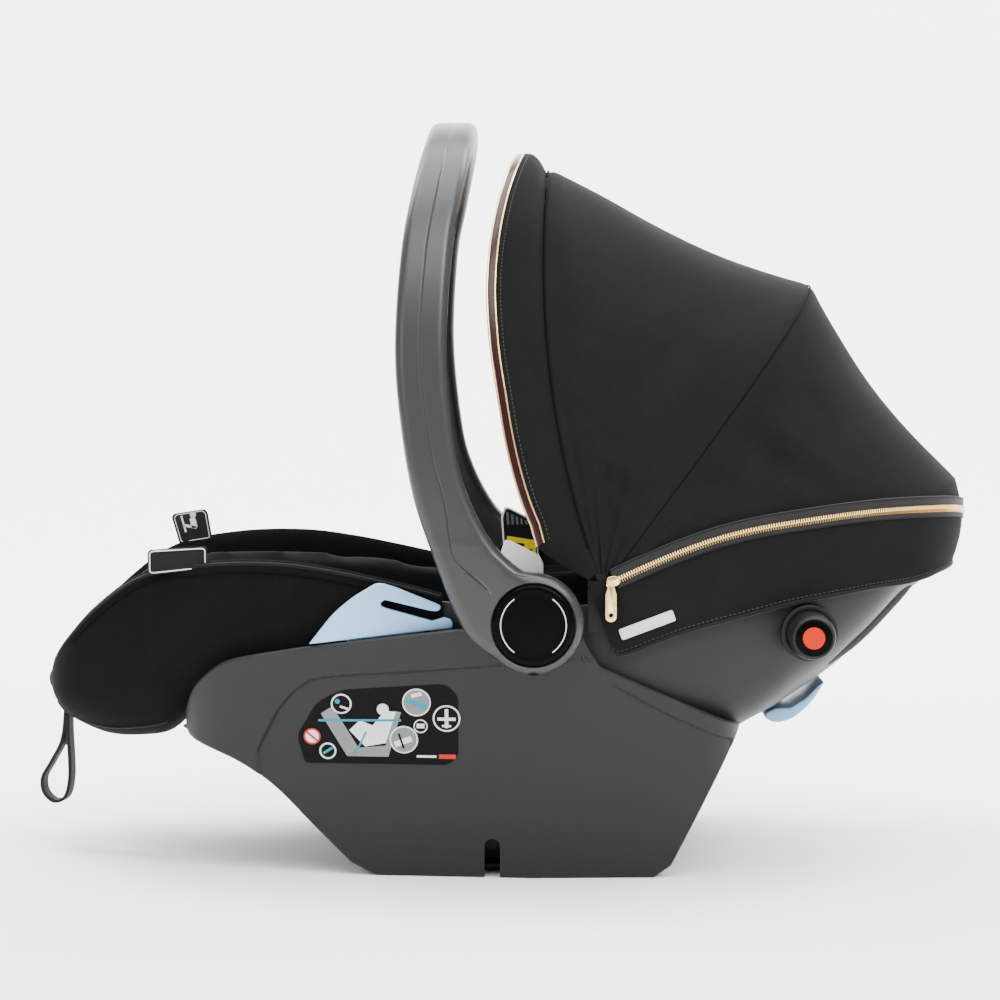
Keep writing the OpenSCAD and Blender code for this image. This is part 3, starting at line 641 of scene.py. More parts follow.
def tub_profile(hw, z0, z1, q=3.6, count=48):
    """One side-to-side section of a tub, from rim to rim."""
    a = np.linspace(-math.pi / 2, math.pi / 2, count)
    y = hw * np.sign(a) * np.abs(np.sin(a)) ** (2 / q)
    z = z1 - (z1 - z0) * np.maximum(0, np.cos(a)) ** (2 / q)
    return y, z


def ends_dense(x0, x1, count):
    """Stations closer together towards both ends."""
    k = np.linspace(0, math.pi, count)
    return (x0 + x1) / 2 - np.cos(k) * (x1 - x0) / 2


# ---------------------------------------------------------------- seat shell

# how far the shell's back is raised over the CAD tub, in its middle and at its corners
BACK_LIFT = np.array([(200, 0), (221, 1), (274, 10), (316, 17), (347, 10), (358, 0)], float)
CORNER_LIFT = np.array([(190, 0), (230, 9), (274, 12), (330, 10), (358, 0)], float)


SHELL_POINTS = 72


def shell_section(x, inset):
    """One section of the seat shell, inset inside it, with rounder back corners than the CAD tub."""
    z1 = lookup(x, RIM)
    z0 = min(lookup(x, FLOOR) + lookup(x, BACK_LIFT) + inset, z1 - 2)
    y, z = tub_profile(max(6, float(shell_hw(x)) - inset), z0, z1, count=SHELL_POINTS)
    z = z + lookup(x, CORNER_LIFT) * smooth((np.abs(y) - 30) / 80) * (z1 - z) / (z1 - z0)
    return np.stack([np.full_like(y, x), y, z], 1)


def seat_shell():
    rows = np.array([shell_section(x, 0) for x in ends_dense(-350, 358, 120)])
    obj = grid_object("seat_shell_skin", rows, M["shell"])
    last = (len(rows) - 1) * SHELL_POINTS
    close_ends(obj, [range(SHELL_POINTS), range(last + SHELL_POINTS - 1, last - 1, -1)])
    if obj.data.polygons[3000].normal.z > 0 and obj.data.polygons[3000].center.z < 0.15:
        obj.data.flip_normals()
    solidify(obj, 3.5, rim_bevel=1.0)
    pod_x, _, pod_z = sum(node_box("pod_left")) / 2
    bore = [(18.0, 0), (18.0, 60)]
    cut(obj, *[lathe("cut", bore, (pod_x, s * 180, pod_z), (0, -s, 0), M["shell"]) for s in (-1, 1)])
    finish_piece(obj, "root", ["seat_shell"], sharp=50)


def foam_liner():
    """Bead foam between the shell and the cushion."""
    rows = np.array([shell_section(x, 4.4) for x in ends_dense(42, 346, 60)])
    obj = grid_object("foam_liner_skin", rows, M["foam"])
    if obj.data.polygons[len(obj.data.polygons) // 2].normal.z > 0:
        obj.data.flip_normals()
    solidify(obj, 4.0)
    finish_piece(obj, "root", ["foam_liner"], sharp=50)


# ---------------------------------------------------------------- lower shell

LOW_FRONT = spline([(-116, 9.4), (-145, 39), (-174, 69.5), (-202, 90), (-238, 106), (-245, 113)], 8)
NOSE = spline([(-245.5, 114), (-246, 125), (-238, 148), (-220.5, 166), (-200, 175), (-145.5, 185)], 8)
LOWER_EDGE = np.vstack([LOW_FRONT[::-1], [(-97, 0), (120, 0), (133, 9.4), (183, 112), (186, 120)]])
UPPER_EDGE = np.vstack([NOSE, [(-34, 199.5), (60, 201), (66, 187), (76, 171), (110, 155.5), (186, 121)]])
CREASE = spline([(-184, 108), (-174, 128), (-168, 137), (-155, 151), (-134, 160), (-60, 166), (6, 172)], 6)
BAND_LOW = spline([(84, 158), (104, 146), (140, 127), (181, 109)], 6)


def lower_relief(x, z):
    """How far the side stands out: its field is sunk under the crease, its rear band raised."""
    d = -distance_to(CREASE, x, z)
    field = -3.2 * smooth(d / 2.4 + 0.5) * smooth((135 - d) / 50) * smooth((x + 190) / 6)
    field *= 1 - 0.8 * smooth((x - 8) / 90)
    rear = 2.2 * smooth(distance_to(BAND_LOW, x, z) / 1.8 + 0.5) * smooth((x - 78) / 14)
    return field + rear


def lower_shell():
    xs = np.unique(np.concatenate([ends_dense(-245.6, -190, 30), np.linspace(-189.4, -130, 70),
                                   np.linspace(-128, 80, 100), np.linspace(81.5, 185.5, 72)]))
    edge_radius = 5.0
    side_count, turn_count, flat_count = 130, 7, 9
    rows = []
    for x in xs:
        z0, z1 = lookup(x, LOWER_EDGE), lookup(x, UPPER_EDGE)
        z1 = max(z1, z0 + 1.0)
        r = min(edge_radius, (z1 - z0) * 0.45)
        z = z1 - (z1 - z0 - r) * np.linspace(0, 1, side_count)
        y = lower_y(x, z) + lower_relief(np.full_like(z, x), z)
        y = y - 2.2 * (1 - smooth((z1 - z) / 2.2)) ** 2
        y = np.maximum(y, 8)
        a = np.linspace(0, math.pi / 2, turn_count + 1)[1:]
        ty, tz = y[-1] - r * (1 - np.cos(a)), z[-1] - r * np.sin(a)
        flat = np.linspace(ty[-1], 0, flat_count + 1)[1:]
        half_y = np.concatenate([y, ty, flat])
        half_z = np.concatenate([z, tz, np.full(flat_count, z0)])
        line = np.stack([np.full_like(half_y, x), -half_y, half_z], 1)
        other = line[::-1][1:] * np.array([1, -1, 1])
        rows.append(np.vstack([line, other]))
    obj = grid_object("lower_shell_skin", rows, M["shell"])
    if obj.data.polygons[20].normal.y > 0:
        obj.data.flip_normals()
    solidify(obj, 3.6)
    cutters = [
        box_object("cut", (-78, -105, -5), (-28, 105, 20), M["shell"], 6),
        box_object("cut", (20, -105, -5), (78, 105, 20), M["shell"], 6),
        box_object("cut", (133, -36, 38), (200, 36, 84), M["shell"], 4),
    ]
    x, _, z = sum(node_box("docking_bar")) / 2
    arch = [(x + 6 * math.cos(a), z + 6 * math.sin(a)) for a in np.linspace(0, math.pi, 13)[1:-1]]
    slot = [(x - 6, -4), (x + 6, -4), (x + 6, z)] + arch + [(x - 6, z)]
    cutters += [plate("cut", slot, y0, y1, M["shell"], 0) for y0, y1 in ((-184, -104), (104, 184))]
    cut(obj, *cutters)
    return finish_piece(obj, "root", ["lower_shell"], sharp=28)


# ---------------------------------------------------------------- side labels

def on_side(x, z, lift):
    """A point on the lower shell's near side, lift millimetres above it."""
    return (x, -(float(lower_y(x, z)) + float(lower_relief(np.array([x]), np.array([z]))[0]) + lift), z)


def decal(outline, lift, material, centre=None, rings=2):
    """A thin printed shape on the near side, built in rings round its centre so that it follows the shell."""
    edge = np.array(outline, float)
    mid = edge.mean(axis=0) if centre is None else np.array(centre, float)
    n = len(edge)
    verts = [on_side(*mid, lift)]
    for k in range(1, rings + 1):
        verts += [on_side(x, z, lift) for x, z in mid + (edge - mid) * k / rings]
    verts += [on_side(x, z, lift - 0.25) for x, z in edge]
    faces = [(0, 1 + i, 1 + (i + 1) % n) for i in range(n)]
    for k in range(rings):
        a, b = 1 + k * n, 1 + (k + 1) * n
        faces += [(a + i, b + i, b + (i + 1) % n, a + (i + 1) % n) for i in range(n)]
    return recalc(new_object("decal", verts, faces, material))


def ring_points(cx, cz, r, count=40):
    """A circle's outline."""
    return [(cx + r * math.cos(a), cz + r * math.sin(a)) for a in turn_angles(count)]


def rounded(points, r, steps=5):
    """A polygon with its corners rounded."""
    p = np.array(points, float)
    out = []
    for i in range(len(p)):
        a, b, c = p[i - 1], p[i], p[(i + 1) % len(p)]
        u, v = (a - b) / np.linalg.norm(a - b), (c - b) / np.linalg.norm(c - b)
        k = min(r, 0.45 * np.linalg.norm(a - b), 0.45 * np.linalg.norm(c - b))
        s, e = b + u * k, b + v * k
        for t in np.linspace(0, 1, steps):
            out.append(tuple((1 - t) ** 2 * s + 2 * t * (1 - t) * b + t * t * e))
    return out


def line_shape(x0, z0, x1, z1, width):
    """A straight bar's outline, from its two ends and its width."""
    d = np.array([x1 - x0, z1 - z0], float)
    n = np.array([-d[1], d[0]]) / np.linalg.norm(d) * width / 2
    a, b = np.array([x0, z0]), np.array([x1, z1])
    return [tuple(a + n), tuple(b + n), tuple(b - n), tuple(a - n)]


def side_label(side):
    """Label with plain pictograms: a seat with its belt, and round signs."""
    outline = rounded([(-151, 91), (-40, 91), (-32, 98), (-32, 147), (-42, 156), (-122, 150), (-141, 140),
                       (-157, 113), (-153, 99)], 7)
    parts = [decal(outline, 0.4, M["film"], centre=(-90, 120), rings=20)]
    lift = 0.55

    def disc(cx, cz, r, rim, face, inner=0.84):
        parts.append(decal(ring_points(cx, cz, r), lift + 0.15, M[rim]))
        parts.append(decal(ring_points(cx, cz, r * inner), lift + 0.27, M[face]))

    def shape(outline, key, up, centre=None):
        parts.append(decal(outline, lift + up, M[key], centre=centre))

    def bar(x0, z0, x1, z1, width, key, up=0.35):
        shape(line_shape(x0, z0, x1, z1, width), key, up)

    # the seat, the child in it and the belt
    shape([(-138, 131), (-129, 137), (-108, 102), (-118, 97)], "grey", 0)
    shape([(-118, 97), (-108, 104), (-88, 106), (-86, 97)], "grey", 0)
    shape([(-88, 106), (-82, 134), (-76, 133), (-86, 97)], "grey", 0)
    child = [(-116, 118), (-108, 126), (-98, 122), (-88, 134), (-80, 133), (-88, 108), (-104, 105)]
    shape(child, "print", 0.08, (-98, 114))
    shape(ring_points(-90, 135, 4.6, 24), "print", 0.1)
    bar(-140, 125.5, -76, 126.5, 1.8, "ink", 0.2)
    bar(-103, 117, -112, 98, 1.4, "ink", 0.2)

    # the round signs
    disc(-122, 139, 8.0, "print", "film")
    shape(ring_points(-125, 141, 2.0, 16), "ink", 0.35)
    bar(-123, 137, -117, 135, 1.6, "print")
    disc(-64, 141, 11.0, "print", "grey", 0.9)
    bar(-72, 143, -56, 137, 4.0, "ink")
    bar(-68, 146, -60, 148, 3.0, "print")
    disc(-61, 122, 5.4, "print", "film")
    shape([(-64, 120.5), (-58, 120.5), (-58, 124), (-64, 124)], "print", 0.35)
    disc(-74, 111, 11.0, "print", "grey", 0.9)
    bar(-81, 107, -68, 112, 4.4, "print")
    bar(-78, 116, -74, 104, 1.6, "film", 0.4)
    disc(-41, 128.5, 10.6, "print", "film", 0.88)
    bar(-41, 121, -41, 136, 2.6, "print")
    bar(-48, 128, -34, 128, 2.4, "print", 0.37)
    bar(-44.5, 122.5, -37.5, 122.5, 1.6, "print", 0.37)
    disc(-145, 112.5, 6.6, "rule", "print", 0.78)
    bar(-149, 116, -141, 109, 1.5, "rule", 0.45)
    disc(-133, 101, 6.6, "print", "film", 0.8)
    bar(-136.5, 99, -129.5, 103.5, 2.0, "ink", 0.45)

    # two bars along the lower edge
    shape([(-47, 96), (-34, 96), (-34, 99.6), (-47, 99.6)], "rule", 0.1)
    shape([(-64, 96.8), (-49, 96.8), (-49, 98.6), (-64, 98.6)], "print", 0.1)
    obj = join("label_" + side, parts)
    if side == "right":
        obj.data.transform(Matrix.Scale(-1, 4, (0, 1, 0)))
        obj.data.flip_normals()
    return finish_piece(obj, "root", ["label_" + side])


# ---------------------------------------------------------------- padded cover round the foot end

# soft folds in the cover, as (x, z, length, width, height, slant)
COVER_FOLDS = [(-300, 175, 60, 12, 1.6, 0.5), (-250, 160, 50, 9, -1.4, 0.2), (-180, 150, 60, 12, 1.2, -0.3),
               (-320, 150, 30, 10, -1.2, 0.9), (-120, 140, 50, 12, -1.0, 0.3), (-210, 200, 70, 8, 1.0, 0.05)]
# the roll over the cover's rim, as (distance inside the wall, height over the rim)
COVER_ROLL = [(11, -22), (10, -10), (8, -2.5), (5, 0.6), (2, -0.4)]


def cover_surface(x):
    """Section of the cover's outside, from inside the rim over the roll and round to the other side."""
    z0 = lookup(x, COVER_FLOOR)
    hw = max(float(cover_hw(x)), 9)
    z1 = max(lookup(x, COVER_RIM), z0 + 6)
    y, z = tub_profile(hw, z0, z1 - 3, count=64)
    room = max(0.0, min(1.0, (hw - 12) / 40, (z1 - z0 - 8) / 30))
    left = [(-hw + inside * room, z1 - 3 + (over + 3) * room) for inside, over in COVER_ROLL]
    right = [(-a, b) for a, b in left[::-1]]
    return np.array(left + list(zip(y, z)) + right)


def cover_puff(x, y, z):
    """Height of the cover's folds and small unevenness, fading out at the rim."""
    puff = np.zeros_like(x)
    for px, pz, length, width, high, slant in COVER_FOLDS:
        u = (x - px) * math.cos(slant) + (z - pz) * math.sin(slant)
        v = -(x - px) * math.sin(slant) + (z - pz) * math.cos(slant)
        puff += high * np.exp(-(u / length) ** 2 - (v / width) ** 2)
    for at in np.ndindex(x.shape):
        p = Vector((x[at], y[at], z[at])) * 0.016
        puff[at] += 1.1 * noise.noise(p) + 0.4 * noise.noise(p * 2.7)
    return puff * smooth((lookup(x, COVER_RIM) - z) / 12)


def cover_line(s, x0, x1, outside, below):
    """A line along one side of the cover, a distance outside its wall and below its rim."""
    return [(x, s * (float(cover_hw(x)) + outside), lookup(x, COVER_RIM) - below)
            for x in np.linspace(x0, x1, 80)]


def cover_seam():
    """The near half of the seam low round the cover's nose."""
    seam = []
    for x in np.linspace(-353, -262, 60):
        section = cover_surface(x)
        wanted = 0.1 * lookup(x, COVER_RIM) + 0.9 * lookup(x, COVER_FLOOR)
        half = section[6:len(section) // 2]
        y, z = half[int(np.argmin(np.abs(half[:, 1] - wanted)))]
        seam.append((x, y - 0.3, z))
    return resample(seam, 24)


def leg_cover():
    sections = [(x, cover_surface(x)) for x in ends_dense(-359, -44, 110)]
    rows = np.array([np.column_stack([np.full(len(section), x), section]) for x, section in sections])
    x, y, z = rows[..., 0], rows[..., 1], rows[..., 2]
    outward = unit(np.stack([np.zeros_like(x), y / 170, (z - 175) / 120], -1))
    rows = rows + outward * cover_puff(x, y, z)[..., None]
    obj = grid_object("leg_cover_cloth", rows, M["fabric"])
    cols = rows.shape[1]
    close_ends(obj, [range(cols)])
    if obj.data.polygons[40 + 50 * (cols - 1)].normal.z > 0.2:
        obj.data.flip_normals()
    solidify(obj, 1.6)
    finish_piece(obj, "root", ["leg_cover"], sharp=60)
    trims = []
    for s in (-1, 1):
        trims.append(tube("piping", cover_line(s, -340, -46, -1.0, 2.6), 1.5, M["pipe"]))
        # The dark cord below the rim is painted shade of the cover's side seam, drawn in the seam_shadow cloth.
        trims.append(tube("band", cover_line(s, -335, -46, 0.4, 9), 0.8, M["seam"], 6))
    seam = cover_seam()
    for s in (1, -1):
        trims.append(tube("piping", seam * np.array([1, s, 1]), 1.1, M["pipe"]))
    finish_piece(join("leg_cover_piping_and_seam_shade", trims), "root", sharp=60)


def stitches(name, path, pitch, radius, material, fill=0.62):
    """A row of thread stitches along a path, all in one mesh."""
    p = np.array(path, float)
    run = running_length(p)
    count = max(2, int(run[-1] / pitch))
    verts, faces = [], []
    for k in range(count):
        a, b = (k + 0.5 - fill / 2) * run[-1] / count, (k + 0.5 + fill / 2) * run[-1] / count
        ends = [np.array([np.interp(t, run, p[:, c]) for c in range(3)]) for t in (a, b)]
        d = unit(ends[1] - ends[0])
        s = unit(np.cross(d, (0, 0, 1)))
        n = np.cross(s, d)
        ring = [(1, 0), (0.5, 0.87), (-0.5, 0.87), (-1, 0), (-0.5, -0.87), (0.5, -0.87)]
        start = len(verts)
        for scale, share in ((0.5, 0), (1, 0.25), (1, 0.75), (0.5, 1)):
            at = ends[0] * (1 - share) + ends[1] * share
            verts += [tuple(at + (s * c + n * h) * radius * scale) for c, h in ring]
        for i in range(3):
            for j in range(6):
                faces.append((start + i * 6 + j, start + i * 6 + (j + 1) % 6, start + i * 6 + 6 + (j + 1) % 6,
                              start + i * 6 + 6 + j))
        faces.append(tuple(start + j for j in range(5, -1, -1)))
        faces.append(tuple(start + 18 + j for j in range(6)))
    return new_object(name, verts, faces, material)


# ---------------------------------------------------------------- pieces made from CAD nodes

def node_copy(node, name, material):
    """A free copy of a CAD node's mesh, with its points merged and flat faces made whole."""
    obj = bpy.data.objects.new(name, frame["nodes"][node].data.copy())
    bpy.context.scene.collection.objects.link(obj)
    obj.data.materials.clear()
    obj.data.materials.append(material)
    obj.data.polygons.foreach_set("material_index", [0] * len(obj.data.polygons))

    def change(bm):
        bmesh.ops.remove_doubles(bm, verts=bm.verts, dist=1e-5)
        bmesh.ops.dissolve_limit(bm, angle_limit=math.radians(1.5), verts=bm.verts, edges=bm.edges)
    return edit_mesh(obj, change)


def bevelled(node, material, width, segments=3, angle=35):
    """The node with its outer edges rounded."""
    def mark(bm):
        weight = bm.edges.layers.float.new("bevel_weight_edge")
        for edge in bm.edges:
            if edge.is_manifold and edge.is_convex and edge.calc_face_angle(0) > math.radians(angle):
                edge[weight] = 1.0
    obj = edit_mesh(node_copy(node, node + "_part", material), mark)
    mod = obj.modifiers.new("edges", "BEVEL")
    mod.width = width * MM
    mod.segments = segments
    mod.limit_method = "WEIGHT"
    mod.use_clamp_overlap = True
    return apply_modifiers(obj)


def stuffed(node, name, material, voxel, pressure, cap):
    """The node as stuffed cloth."""
    obj = node_copy(node, name, material)
    cloth_puff(obj, pressure, voxel, cap)
    subdivide(obj, 1)
    return obj


def displace(obj, offset):
    """Moves each vertex along its normal by offset(points, normals), both arrays in millimetres."""
    mesh = obj.data
    co = np.empty(len(mesh.vertices) * 3)
    mesh.vertices.foreach_get("co", co)
    co = co.reshape(-1, 3) / MM
    normals = np.empty(len(mesh.vertices) * 3)
    mesh.vertices.foreach_get("normal", normals)
    normals = normals.reshape(-1, 3)
    co = co + normals * offset(co, normals)[:, None]
    mesh.vertices.foreach_set("co", (co * MM).ravel())
    mesh.update()
    return obj


def segment_distance(x, z, a, b):
    """Distance from points to a segment, their share along it, and their signed distance from its line."""
    a, b = np.array(a, float), np.array(b, float)
    d = b - a
    t = ((x - a[0]) * d[0] + (z - a[1]) * d[1]) / (d @ d)
    c = np.clip(t, 0, 1)
    side = (d[0] * (z - a[1]) - d[1] * (x - a[0])) / np.linalg.norm(d)
    return np.hypot(x - a[0] - c * d[0], z - a[1] - c * d[1]), t, side


# ---------------------------------------------------------------- canopy

# the arch's power, the bows' angles about the pivot, the radii of the bows and the zip, and the half-width; then
# the zip, the peak's free edge and its seam, as (share of the arch's height, angle)
ARCH_P = 2.6
FRONT_A, MID_A = 97.0, 53.0
FRONT_R, MID_R, ZIP_R, CANOPY_W = 320.0, 283.0, 298.5, 188.0
ZIP_A = [(0, 26), (0.27, 23.2), (0.53, 17.7), (0.79, 13.4), (0.95, 10.6), (1, 8.8)]
EDGE_A = [(0, 153), (0.16, 149.8), (0.21, 139.8), (0.32, 128.8), (0.46, 120.2), (0.6, 115), (0.71, 111.5),
          (0.82, 107.8), (0.93, 103.9), (1, 101)]
SEAM_A = [(0, 112), (0.1, 110), (0.7, 101.3), (1, FRONT_A)]
EDGE_A, SEAM_A, ZIP_A = (np.array(spline(line, 6)) for line in (EDGE_A, SEAM_A, ZIP_A))


def arch_s(t):
    """Share of its full radius that the canopy's arch has reached at arch angle t."""
    return np.maximum(0, np.sin(np.radians(t))) ** (2 / ARCH_P)


def arch_y(w, t):
    """Half-width of the arch at arch angle t."""
    return w * np.maximum(0, np.cos(np.radians(t))) ** (2 / ARCH_P)


def turn_at(line, t):
    """A canopy line's angle about the pivot, in degrees, at arch angle t."""
    return lookup(arch_s(t), line)


def canopy_xyz(r, w, a, t, side):
    """Points of the canopy at radius r, half-width w, angle a about the pivot and arch angle t."""
    s = arch_s(t) * r
    a = np.radians(a)
    x, z = PIVOT_X + s * np.cos(a), PIVOT_Z + s * np.sin(a)
    return np.stack(np.broadcast_arrays(x, side * arch_y(w, t), z), -1)


def arch_columns(count):
    """Arch angles and sides, from the near side over the ridge to the far side."""
    q = np.linspace(0, 1, count)
    half = 0.7 + 89.3 * q ** 1.15
    t = np.concatenate([half, half[::-1][1:]])
    side = np.concatenate([np.full(count, -1.0), np.full(count - 1, 1.0)])
    return t, side


def surface_normals(p):
    """Outward unit normals of a canopy grid."""
    n = unit(np.cross(np.gradient(p, axis=0), np.gradient(p, axis=1)))
    centre = np.array([PIVOT_X + 60, 0, PIVOT_Z + 40])
    flip = np.sign(np.sum(n * (p - centre), axis=-1, keepdims=True))
    return n * np.where(flip == 0, 1, flip)


def folds(p, lines):
    """Height of soft folds: each line is (x0, z0, x1, z1, width, height), a ridge with a valley beside it."""
    x, z = p[..., 0], p[..., 2]
    out = np.zeros_like(x)
    for x0, z0, x1, z1, width, high in lines:
        d, t, side = segment_distance(x, z, (x0, z0), (x1, z1))
        t = np.clip(t, 0, 1)
        along = smooth(t * 3) * smooth((1 - t) * 1.6) * np.exp(-(d / (3 * width)) ** 2)
        out += high * along * (0.3 * np.exp(-((side - 0.8 * width) / width) ** 2) -
                               np.exp(-((side + 0.6 * width) / width) ** 2))
    return out


def cloth_noise(p, scale, high):
    """Small unevenness of cloth, at each point of a grid."""
    out = np.zeros(p.shape[:-1])
    for index in np.ndindex(out.shape):
        out[index] = noise.noise(Vector(p[index] * scale))
    return out * high


def gathers(p, angle):
    """Unit height of the gathers that run to the pivot."""
    r = np.hypot(p[..., 0] - PIVOT_X, p[..., 2] - PIVOT_Z)
    waves = np.sin(np.radians(angle * 21)) * 0.6 + np.sin(np.radians(angle * 47 + r)) * 0.3
    return smooth((150 - r) / 120) * (waves - 0.3)


def canopy_sheet(name, points, body, node, lines=(), gather=0.0, rough=1.0, thick=2.0):
    """A cloth sheet over a canopy grid, with its folds, on one body or on none."""
    p = np.asarray(points, float)
    n = surface_normals(p)
    angle = np.degrees(np.arctan2(p[..., 2] - PIVOT_Z, p[..., 0] - PIVOT_X))
    off_bow = np.minimum(np.abs(angle - FRONT_A), np.abs(angle - MID_A))
    lift = folds(p, lines)
    lift = np.where(lift < 0, lift * smooth((off_bow - 2.5) / 7), lift) + cloth_noise(p, 0.017, rough)
    lift += gather * gathers(p, angle)
    share = np.linspace(0, 1, len(p))
    hold = smooth(share * 14) * smooth((1 - share) * 14)
    p = p + n * (lift * hold[:, None])[..., None]
    limit, soft = 190.4, 1.5
    past = np.maximum(0, np.abs(p[..., 1]) - limit + soft)
    p[..., 1] -= np.sign(p[..., 1]) * (past - soft * (1 - np.exp(-past / soft)))
    obj = grid_object(name, p, M["canopy"])
    mid = obj.data.polygons[len(obj.data.polygons) // 2]
    inside = Vector((PIVOT_X * MM, 0, PIVOT_Z * MM))
    if mid.normal.dot(mid.center - inside) < 0:
        obj.data.flip_normals()
    solidify(obj, thick)
    return finish_piece(obj, body, [node], sharp=60)


def angular_blend(obj):
    """Bakes the sheet's place into its mesh and works out each point's angle about the pivot, which nothing
    uses.
    """
    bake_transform(obj)
    co = np.array([v.co for v in obj.data.vertices]) / MM
    a = np.degrees(np.arctan2(co[:, 2] - PIVOT_Z, co[:, 0] - PIVOT_X))
    a = np.where(a < -90, a + 360, a)
    return obj


def along(line, inward, up, depth, height):
    """The line moved depth inwards over the cloth and height off it."""
    return line + inward * depth + up * height


def visor(t, side):
    """The stiff peak with its binding: two gold cords along a dark band, and a row of stitches."""
    edge_angle, seam_angle = turn_at(EDGE_A, t), turn_at(SEAM_A, t) + 0.3
    rows = []
    for u in np.concatenate([np.linspace(0, 0.7, 18), np.linspace(0.72, 1, 16)]):
        radius = FRONT_R + 18 * (1 - u ** 4) - 0.4 * math.exp(-((u - 0.12) / 0.012) ** 2)
        rows.append(canopy_xyz(radius, CANOPY_W, edge_angle + (seam_angle - edge_angle) * u, t, side))
    rows = np.array(rows)
    cloth = canopy_sheet("visor_cloth", rows, "canopy_front", "canopy_visor", rough=0.5, thick=2.6)

    edge, inward, up = rows[0], rows[3] - rows[0], surface_normals(rows)[0]
    tangent = unit(np.gradient(edge, axis=0))
    inward = unit(inward - tangent * np.sum(inward * tangent, axis=1)[:, None])
    keep = arch_s(t) > 0.158
    edge, inward, up = edge[keep], inward[keep], up[keep]
    width = 6.2
    section = [(-0.3, -2.8), (-0.9, -1.0), (-0.3, 0.5), (1.0, 1.0), (width - 1, 1.0), (width, 0.4),
               (width, -0.2)]
    band = np.stack([along(edge, inward, up, depth, height) for depth, height in section], 1)
    trims = [solidify(recalc(grid_object("band", band, M["wine"])), 0.5),
             tube("gold", along(edge, inward, up, 0.1, 0.7), 0.95, M["gold"]),
             tube("gold", along(edge, inward, up, width + 0.2, 1.1), 0.8, M["gold"])]
    finish_piece(join("visor_binding", trims), "canopy_front", ["visor_trim"], sharp=60)
    stitch = stitches("visor_stitches", along(edge, inward, up, width + 4.2, 0.25), 3.2, 0.38, M["thread"])
    finish_piece(stitch, "canopy_front")
    # A thin dark cord along the seam between the peak and the front panel: painted shade of the seam's groove,
    # drawn in the seam_shadow cloth.
    seam = canopy_xyz(FRONT_R + 1.2, CANOPY_W + 0.9, turn_at(SEAM_A, t), t, side)[3:-3]
    piping = tube("visor_seam_shade_line", seam, 0.75, M["seam"])
    finish_piece(piping, "canopy_front", sharp=60)
    return cloth


def panel_rows(t, side, ends, radii, span, sag, count):
    """Rows of a taut panel between two angles; over span its radius runs between radii and sags."""
    rows = []
    for a in (ends[0] + (ends[1] - ends[0]) * u for u in np.linspace(0, 1, count)):
        v = np.clip((span[0] - a) / (span[0] - span[1]), 0, 1)
        r = radii[0] + (radii[1] - radii[0]) * v - 4 * sag * v * (1 - v)
        rows.append(canopy_xyz(r, CANOPY_W, a, t, side))
    return rows


def canopy():
    """The peak, the two panels, which stay on no body and so do not fold with the canopy, and the seam on the
    bow between them, drawn as a line of painted shade.
    """
    t, side = arch_columns(84)
    peak = visor(t, side)

    ends = (turn_at(SEAM_A, t), MID_A + 0.1)
    rows = panel_rows(t, side, ends, (FRONT_R, MID_R), (FRONT_A - 1, MID_A + 1), 29, 60)
    lines = [(44, 376, 96, 334, 9, 6.4), (50, 344, 112, 296, 9, 6.6), (42, 412, 84, 396, 9, 3.6),
             (62, 318, 90, 262, 5, 4.0), (74, 322, 96, 258, 5, 3.6), (60, 300, 82, 248, 4, 2.6),
             (130, 420, 120, 300, 16, 1.2), (90, 460, 60, 430, 12, 1.0)]
    front = canopy_sheet("front_panel_cloth", rows, None, "canopy_front_panel", lines, gather=1.3)

    ends = (MID_A - 0.1, turn_at(ZIP_A, t) + 1.0)
    rows = panel_rows(t, side, ends, (MID_R, ZIP_R), (MID_A - 1, 14), 25, 54)
    lines = [(170, 372, 244, 314, 11, 5.6), (194, 346, 270, 300, 10, 5.0), (150, 330, 206, 288, 11, 3.4),
             (230, 392, 270, 340, 10, 1.3), (120, 290, 150, 262, 6, 1.3)]
    rear = canopy_sheet("rear_panel_cloth", rows, None, "canopy_rear_panel", lines, gather=1.1)
    # A thin dark cord along the seam on the middle bow: painted shade of the seam's groove, drawn in the
    # seam_shadow cloth.
    ridge = canopy_xyz(MID_R + 0.9, CANOPY_W - 0.4, MID_A, t, side)[3:-3]
    finish_piece(tube("ridge_seam_shade_line", ridge, 0.7, M["seam"]), "canopy_mid", sharp=60)

    angular_blend(front)
    angular_blend(rear)


